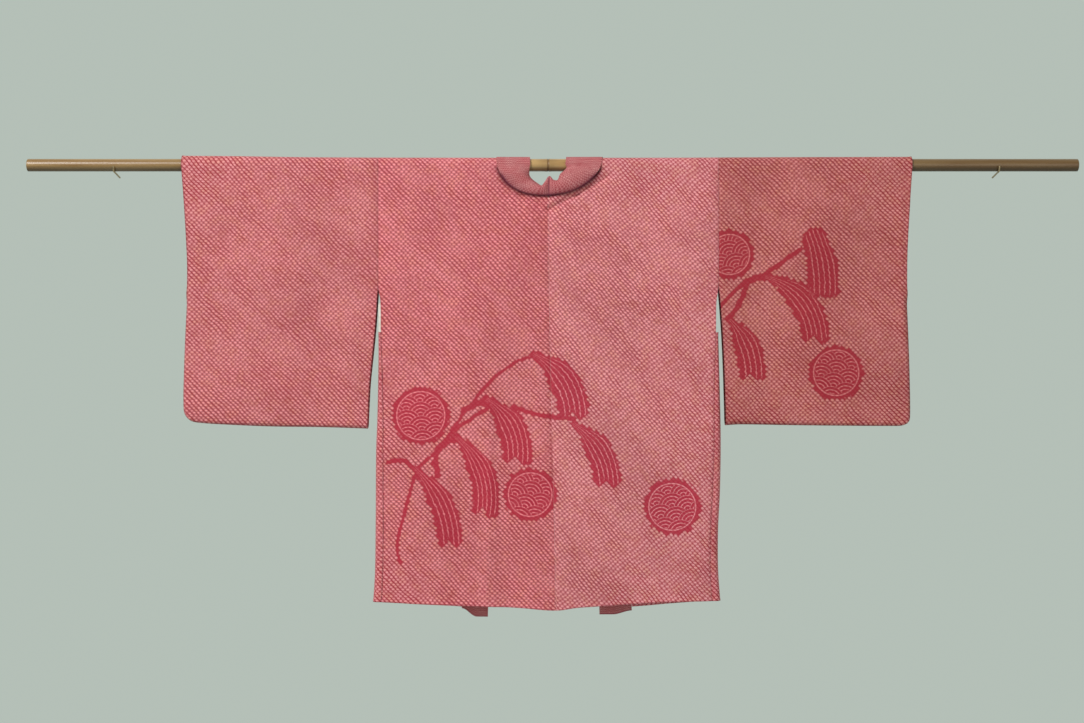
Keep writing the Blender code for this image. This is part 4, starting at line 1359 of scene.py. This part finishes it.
@dataclass(frozen=True)
class Collar(ClothPiece):
    """The long band round the neck and down both front edges, gathered into fine ribs."""

    wall: float = 2.7
    hem_wall: float = 3.4
    columns: int = 20
    neck_rows: int = 420
    rod_rows: int = 40
    front_rows: int = 170
    cad_wall: float = 3.0
    stand: float = 2.6
    lap: float = 2.2
    rib_height: float = 0.16
    rib_pitch: float = 3.7
    flat_width: float = 0.058

    @property
    def raised(self) -> float:
        """How far the band's middle lies outside the cloth's middle."""
        return (self.cad_wall - HANGING.wall) / 2

    def neck_points(self) -> Array:
        """The band round the back of the neck, rows along it and columns across."""
        places = np.linspace(0, len(COLLAR_NECK) - 1, self.neck_rows + 1)
        rows = SmoothLine(range(len(COLLAR_NECK)), COLLAR_NECK).at(places)
        neck = Neck(*(rows[:, k : k + 1] for k in range(6)))
        shares = np.linspace(0, 1, self.columns + 1)
        section = SmoothLine(np.linspace(0, 1, len(ROLLED_SECTION)), ROLLED_SECTION).at(shares)
        rolled = Rolled(*(section[None, :, k] for k in range(3)))
        width = mixed(shares[None, :], rolled.width, neck.roll)
        turn = rolled.turn * neck.roll
        x = mixed(neck.seam_x, neck.edge_x, width)
        z = mixed(neck.seam_z, neck.edge_z, width)
        z = z - self.lap * eased((neck.roll - 0.3) / 0.5) * (1 - eased(width * 2))
        standing = self.raised + self.stand * np.minimum(neck.roll * 4, 1)
        standing = standing + neck.bulge * rolled.bulge
        y = -HANGING.depth(BACK_FOLDS, neck.seam_x, neck.seam_z)
        y = y - standing * (1 - eased(turn / 8)) + turn
        least = HANGING.radius + self.raised
        away = np.maximum(least / np.maximum(np.hypot(y, z), 1), 1)
        return np.stack([x, y * away, z * away], -1)

    def front_points(self, side: Side) -> Array:
        """The band down one front, from just below the rod to its lower end."""
        form = FORMS[side]
        share = graded(self.front_rows, 800, (1.2, 2.6, 4.4), False, True)[1:][:, None]
        across = np.linspace(0, 1, self.columns + 1)[None, :]
        z = mixed(*form.collar_end, eased(across * 1.7)) * share
        x = mixed(graph(form.collar_seam)(z), graph(form.collar_edge)(z), across)
        return HANGING.hung(x, HANGING.over_rod - z, self.raised)

    def rod_points(self, side: Side) -> Array:
        """The band over the rod, from the front to the back of one shoulder."""
        form = FORMS[side]
        neck = COLLAR_NECK[0 if side is Side.LEFT else -1]
        share = np.arange(self.rod_rows, 0, -1)[:, None] / self.rod_rows
        across = np.linspace(0, 1, self.columns + 1)[None, :]
        seam_x = mixed(neck.seam_x, form.collar_seam[-1][1], share)
        edge_x = mixed(neck.edge_x, form.collar_edge[-1][1], share)
        x = mixed(seam_x, edge_x, across)
        return HANGING.hung(x, HANGING.over_rod * share, self.raised)

    def ribbed(self, points: Array, along: Array) -> Array:
        """Raises the fine ribs of the gathered cloth, most round the neck."""
        down = np.gradient(points, axis=0)
        across = np.gradient(points, axis=1)
        normal = np.cross(across, down)
        normal /= np.linalg.norm(normal, axis=-1, keepdims=True)
        middle = along[:, None] + 0 * points[..., 0]
        uneven = 1.1 * np.sin(middle / 11) + 0.5 * np.sin(points[..., 0] / 3.1)
        rib = np.cos(2 * math.pi * (middle + uneven) / self.rib_pitch)
        share = eased((60 + points[..., 2]) / 40) * eased((13 - np.abs(points[..., 1])) / 4)
        share = np.maximum(share, points[..., 1] < -14)
        return points + normal * (self.rib_height * rib * share)[..., None]

    def cut(self) -> Cut:
        """The band on its pattern and in space."""
        left, right = self.front_points(Side.LEFT), self.front_points(Side.RIGHT)
        points = np.concatenate([
            left[::-1], self.rod_points(Side.LEFT), self.neck_points(),
            self.rod_points(Side.RIGHT)[::-1], right,
        ])
        middle = points[:, self.columns // 2]
        along = np.concatenate([[0], np.cumsum(np.linalg.norm(np.diff(middle, axis=0), axis=-1))])
        widths = np.linalg.norm(np.diff(points, axis=1), axis=-1)
        across = np.concatenate([np.zeros((len(points), 1)), np.cumsum(widths, axis=1)], axis=1)
        points = self.ribbed(points, along)
        ends = np.minimum(along, along[-1] - along)
        edge = (1 - eased(ends / 7))[:, None] + 0 * across
        # Painted shade on the band round the back of the neck: strongest along its lower edge, fading up its lower
        # part, and in the centre notch; darker lines at the band's two ends.
        round_neck = eased((-points[..., 2] - 8) / 16) * (points[..., 1] < -HANGING.radius)
        shade_and_dark_edges = round_neck * (0.75 * near(across, 3.4) + 0.26 * (1 - eased(across / 24)))
        notch = near(points[..., 0] - 1, 1.5) * eased((-points[..., 2] - 20) / 8)
        shade_and_dark_edges = np.maximum(shade_and_dark_edges, 0.7 * notch * round_neck)
        shade_and_dark_edges = np.maximum(shade_and_dark_edges, 0.5 * near(ends, 1.6)[:, None])
        return Cut(points, across, along[:, None] + 0 * across, edge, shade_and_dark_edges)

    def build(self, finish: GatheredSilk) -> None:
        """Builds and dresses the band."""
        cut = self.cut()
        shown = self.shell(cut, finish.material(), Dyeing())
        length = float(cut.run.max()) * METRES
        self.hang_in_frame(shown, (self.flat_width, length), self.flat_area(cut))


@dataclass(frozen=True)
class LiningEdge(ClothPiece):
    """The white edge that shows behind the back panel in the left underarm opening."""

    wall: float = 0.9
    hem_wall: float = 1.1
    cad_wall: float = 1.0
    top: float = -246
    bottom: float = -297.4
    shows: float = 4
    width: float = 13
    rows: int = 40
    columns: int = 10

    def cut(self) -> Cut:
        """The strip on its pattern and in space."""
        inward = HANGING.wall / 2 + SEAM_GAP + self.cad_wall / 2
        z = np.linspace(self.top, self.bottom, self.rows + 1)[:, None]
        fullness = eased((self.top - z) / 10 + 0.5)
        outer = graph(FORMS[Side.LEFT].panel_edge)(z) - self.shows * fullness
        shares = np.linspace(0, 1, self.columns + 1)[None, :]
        x = outer + self.width * shares
        flutter = 0.35 * np.sin(z / 4.7) * (1 - shares)
        run = z + 0 * x
        y = -HANGING.depth(BACK_FOLDS + BACK_CREASES, x, run) + inward + flutter
        edge = (1 - eased(shares * self.width / 3)) + 0 * x
        return Cut(np.stack([x, y, run], -1), x, run, edge, 0 * x)

    def build(self, finish: PlainSilk) -> None:
        """Builds and dresses the strip."""
        cut = self.cut()
        shown = self.shell(cut, finish.material(), Dyeing())
        flat = (self.width * METRES, (self.top - self.bottom) * METRES)
        self.hang_in_frame(shown, flat, self.flat_area(cut))


@dataclass(frozen=True)
class BambooRod:
    """Bamboo rod: a little thicker at its nodes, with a groove at each, and hollow ends."""

    node_spacing: float = 311
    node_width: float = 5
    slimmer: float = 0.4
    groove: float = 0.8
    bore: float = 7.4
    bore_depth: float = 24
    rounding: float = 1.3
    sides: int = 72

    def nodes(self) -> list[float]:
        """Places of the nodes along the rod."""
        return [self.node_spacing * k for k in range(-2, 3)]

    def profile(self) -> list[Place]:
        """The turned outline, as (x, radius), from the left bore to the right one."""
        left, right = (corner[0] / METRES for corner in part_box("rod"))
        outer = HANGING.rod_radius - self.slimmer
        points = [(left + self.bore_depth, 0), (left + self.bore_depth, self.bore), (left, self.bore)]
        turns = [math.pi / 2 * k / 4 for k in range(5)]
        for turn in turns:
            x = left + self.rounding * (1 - math.sin(turn))
            points.append((x, outer - self.rounding * (1 - math.cos(turn))))
        points[3:] = points[3:][::-1]
        points[3:] = sorted(points[3:], key=lambda point: point[1])
        marks = [left + 12 + 8 * k for k in range(int((right - left - 24) / 8) + 1)]
        for node in self.nodes():
            marks = [x for x in marks if abs(x - node) > 1.6 * self.node_width]
            marks += [node + step for step in (-7, -5, -3.4, -2.2, -1.3, -0.7, 0, 0.7, 1.3, 2.4, 4, 6)]
        for x in sorted(marks):
            points.append((x, self.radius_at(x)))
        for x, radius in points[:3 + len(turns)][::-1]:
            points.append((left + right - x, radius))
        return points

    def radius_at(self, x: float) -> float:
        """Outer radius of the bamboo at a place along it."""
        radius = HANGING.rod_radius - self.slimmer
        for node in self.nodes():
            away = x - node
            radius += self.slimmer * math.exp(-((away / self.node_width) ** 2))
            radius -= self.groove * math.exp(-((away / 0.9) ** 2))
        return radius

    def build(self, finish: Bamboo) -> None:
        """Turns the rod and dresses it."""
        profile = self.profile()
        angles = [2 * math.pi * k / self.sides for k in range(self.sides)]
        points = [(profile[0][0], 0, 0)]
        for x, radius in profile[1:-1]:
            points += [(x, radius * math.cos(a), radius * math.sin(a)) for a in angles]
        points.append((profile[-1][0], 0, 0))
        rings = len(profile) - 2
        last = 1 + (rings - 1) * self.sides
        faces = []
        for k in range(self.sides):
            after = (k + 1) % self.sides
            faces.append((0, 1 + after, 1 + k))
            for ring in range(rings - 1):
                a, b = 1 + ring * self.sides, 1 + (ring + 1) * self.sides
                faces.append((a + k, a + after, b + after, b + k))
            faces.append((last + k, last + after, len(points) - 1))
        mesh = bpy.data.meshes.new("bamboo_rod")
        mesh.from_pydata([[c * METRES for c in point] for point in points], [], faces)
        mesh.shade_smooth()
        mesh.set_sharp_from_angle(angle=math.radians(50))
        mesh.materials.append(finish.material(self.nodes()))
        rod = bpy.data.objects.new("bamboo_rod", mesh)
        bpy.context.collection.objects.link(rod)
        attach(rod, "root")
        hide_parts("rod")
        LOG.info("bamboo_rod: %d faces", len(mesh.polygons))


@dataclass(frozen=True)
class WallHook:
    """Wall hook of bent wire: a shank that slopes up under the rod, and an upturned tip."""

    side: Side
    x: float
    radius: float = 1.5
    wall_y: float = 35
    wall_z: float = -18.6
    clearance: float = 0.45
    steps: int = 48

    def route(self) -> Array:
        """Points of the wire's middle, as (y, z)."""
        under = -(HANGING.rod_radius + self.radius + self.clearance)
        rise = (under - self.wall_z) / self.wall_y
        points = [
            (self.wall_y, self.wall_z), (self.wall_y / 2, self.wall_z + rise * self.wall_y / 2),
            (0, under), (-8, under + rise * 7), (-12.6, under + 3), (-14.6, -7), (-15.2, -3),
        ]
        return outline(points)(np.linspace(0, 1, self.steps + 1))

    def build(self, finish: HookWire) -> None:
        """Bends the wire and dresses it."""
        name = f"wall_hook_{self.side.value}"
        curve = bpy.data.curves.new(name, "CURVE")
        curve.dimensions = "3D"
        curve.bevel_depth = self.radius * METRES
        curve.bevel_resolution = 5
        curve.use_fill_caps = True
        spline = curve.splines.new("POLY")
        route = self.route()
        spline.points.add(len(route) - 1)
        for point, (y, z) in zip(spline.points, route):
            point.co = (self.x * METRES, y * METRES, z * METRES, 1)
        curve.materials.append(finish.material())
        hook = bpy.data.objects.new(name, curve)
        bpy.context.collection.objects.link(hook)
        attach(hook, "root")
        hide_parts(f"hook_{self.side.value}")
        LOG.info("%s: wire of %d steps", name, self.steps)


@dataclass(frozen=True)
class Studio:
    """Pale floor, soft lights and the camera, square on to the back of the haori."""

    floor_height: float = -1.6
    floor_radius: float = 2.7
    floor_colour: Colour = (0.62, 0.65, 0.61)
    air_colour: Colour = (0.460, 0.525, 0.475)
    sky_colour: Colour = (0.760, 0.800, 0.760)
    ground_colour: Colour = (0.240, 0.250, 0.230)
    eye_level: tuple[float, float] = (0.37, 0.63)
    dim_side: float = 0.55
    camera_place: tuple[float, float, float] = (-0.011, -3.2, -0.35)
    lens: float = 59.6
    sensor: float = 36

    def floor(self) -> None:
        """A round pale floor well below the hung cloth."""
        w = Wiring("pale_floor", 0.8, Specular_IOR_Level=0.2)
        place = w.node("TexCoord").outputs["Object"]
        tone = w.fade(w.noise(place, 2.5, 3), 0.3, 0.7, 0.97, 1.03)
        material = w.finish(w.shade(w.mix(0.0, self.floor_colour, self.floor_colour), tone))
        sides = 128
        angles = [2 * math.pi * k / sides for k in range(sides)]
        rim = [
            (self.floor_radius * math.cos(a), self.floor_radius * math.sin(a), self.floor_height)
            for a in angles
        ]
        mesh = bpy.data.meshes.new("floor")
        mesh.from_pydata(rim, [], [tuple(range(sides))])
        mesh.materials.append(material)
        floor = bpy.data.objects.new("floor", mesh)
        bpy.context.collection.objects.link(floor)

    def light(self, name: str, place: Sequence[float], size: float, power: float, colour: Colour) -> None:
        """A square soft light that looks at the middle of the haori."""
        lamp = bpy.data.lights.new(name, "AREA")
        lamp.shape = "SQUARE"
        lamp.size = size
        lamp.energy = power
        lamp.color = colour
        made = bpy.data.objects.new(name, lamp)
        made.location = place
        way = Vector((0, 0, -0.35)) - Vector(place)
        made.rotation_euler = way.to_track_quat("-Z", "Y").to_euler()
        bpy.context.collection.objects.link(made)

    def camera(self) -> None:
        """The camera at the height of the cloth's middle."""
        data = bpy.data.cameras.new("camera")
        data.lens = self.lens
        data.sensor_width = self.sensor
        camera = bpy.data.objects.new("camera", data)
        camera.location = self.camera_place
        camera.rotation_euler = (math.pi / 2, 0, 0)
        bpy.context.collection.objects.link(camera)
        bpy.context.scene.camera = camera

    def air(self) -> None:
        """Even pale air at eye level, brighter overhead and darker below."""
        world = bpy.data.worlds.new("air")
        world.use_nodes = True
        tree = world.node_tree
        place = tree.nodes.new("ShaderNodeTexCoord").outputs["Generated"]
        height = tree.nodes.new("ShaderNodeSeparateXYZ")
        tree.links.new(place, height.inputs[0])
        colours = [self.ground_colour, self.air_colour, self.air_colour, self.sky_colour]
        ramp = tree.nodes.new("ShaderNodeValToRGB").color_ramp
        ramp_node = tree.nodes[-1]
        for element, position in zip(ramp.elements, (0.0, 1.0)):
            element.position = position
        for position in self.eye_level:
            ramp.elements.new(position)
        for element, colour in zip(ramp.elements, colours):
            element.color = (*colour, 1)
        lifted = tree.nodes.new("ShaderNodeMath")
        lifted.operation = "MULTIPLY_ADD"
        tree.links.new(height.outputs[2], lifted.inputs[0])
        lifted.inputs[1].default_value = 0.5
        lifted.inputs[2].default_value = 0.5
        tree.links.new(lifted.outputs[0], ramp_node.inputs[0])
        dimmer = tree.nodes.new("ShaderNodeMapRange")
        tree.links.new(height.outputs[1], dimmer.inputs["Value"])
        dimmer.inputs["From Min"].default_value = 0.0
        dimmer.inputs["From Max"].default_value = 0.6
        dimmer.inputs["To Min"].default_value = self.dim_side
        tree.links.new(dimmer.outputs[0], tree.nodes["Background"].inputs["Strength"])
        tree.links.new(ramp_node.outputs[0], tree.nodes["Background"].inputs["Color"])
        bpy.context.scene.world = world

    def build(self) -> None:
        """Sets up floor, air, lights and camera."""
        self.floor()
        self.air()
        bpy.context.scene.view_settings.view_transform = "Standard"
        self.light("window", (-1.9, -2.3, 1.6), 1.1, 88, (1.0, 0.975, 0.955))
        self.light("room", (1.7, -3.0, 0.0), 2.4, 20, (1.0, 0.97, 0.95))
        self.camera()
        LOG.info("studio: floor, air, two lights and camera")


def main() -> None:
    """Builds every piece, dresses it, and sets up the studio."""
    logging.basicConfig(level=logging.INFO, format="%(message)s")
    left_silk = TiedSilk("tied_silk_left")
    right_silk = TiedSilk("tied_silk_right", lean=0.17, paleness=0.05, tint=(1.0, 1.14, 1.12))
    back, sleeve = Dyeing(tuple(BACK_DESIGN)), Dyeing(tuple(SLEEVE_DESIGN))
    BodyPanel("body_left", "shibori_cloth", side=Side.LEFT).build(left_silk, back)
    BodyPanel("body_right", "shibori_cloth", side=Side.RIGHT).build(right_silk, back)
    Gusset("gusset_left", "shibori_cloth", side=Side.LEFT).build(TiedSilk("tied_silk_side_left"), Dyeing())
    Gusset("gusset_right", "shibori_cloth", side=Side.RIGHT).build(TiedSilk("tied_silk_side_right"), Dyeing())
    # Painted shade: the sleeves' tints darken them, the right one more and warmer.
    left_sleeve_silk = TiedSilk("tied_silk_sleeve_left", tint=(0.90, 0.96, 0.93))
    right_sleeve_silk = TiedSilk("tied_silk_sleeve_right", tint=(0.82, 0.84, 0.75))
    Sleeve("sleeve_left", "shibori_cloth", side=Side.LEFT).build(left_sleeve_silk, Dyeing())
    Sleeve("sleeve_right", "shibori_cloth", side=Side.RIGHT).build(right_sleeve_silk, sleeve)
    Collar("collar", "collar_cloth").build(GatheredSilk())
    LiningEdge("lining_left", "white_lining").build(PlainSilk())
    BambooRod().build(Bamboo())
    for side, x in ((Side.LEFT, -772.0), (Side.RIGHT, 801.0)):
        WallHook(side, x).build(HookWire())
    Studio().build()


if __name__ == "__main__":
    main()
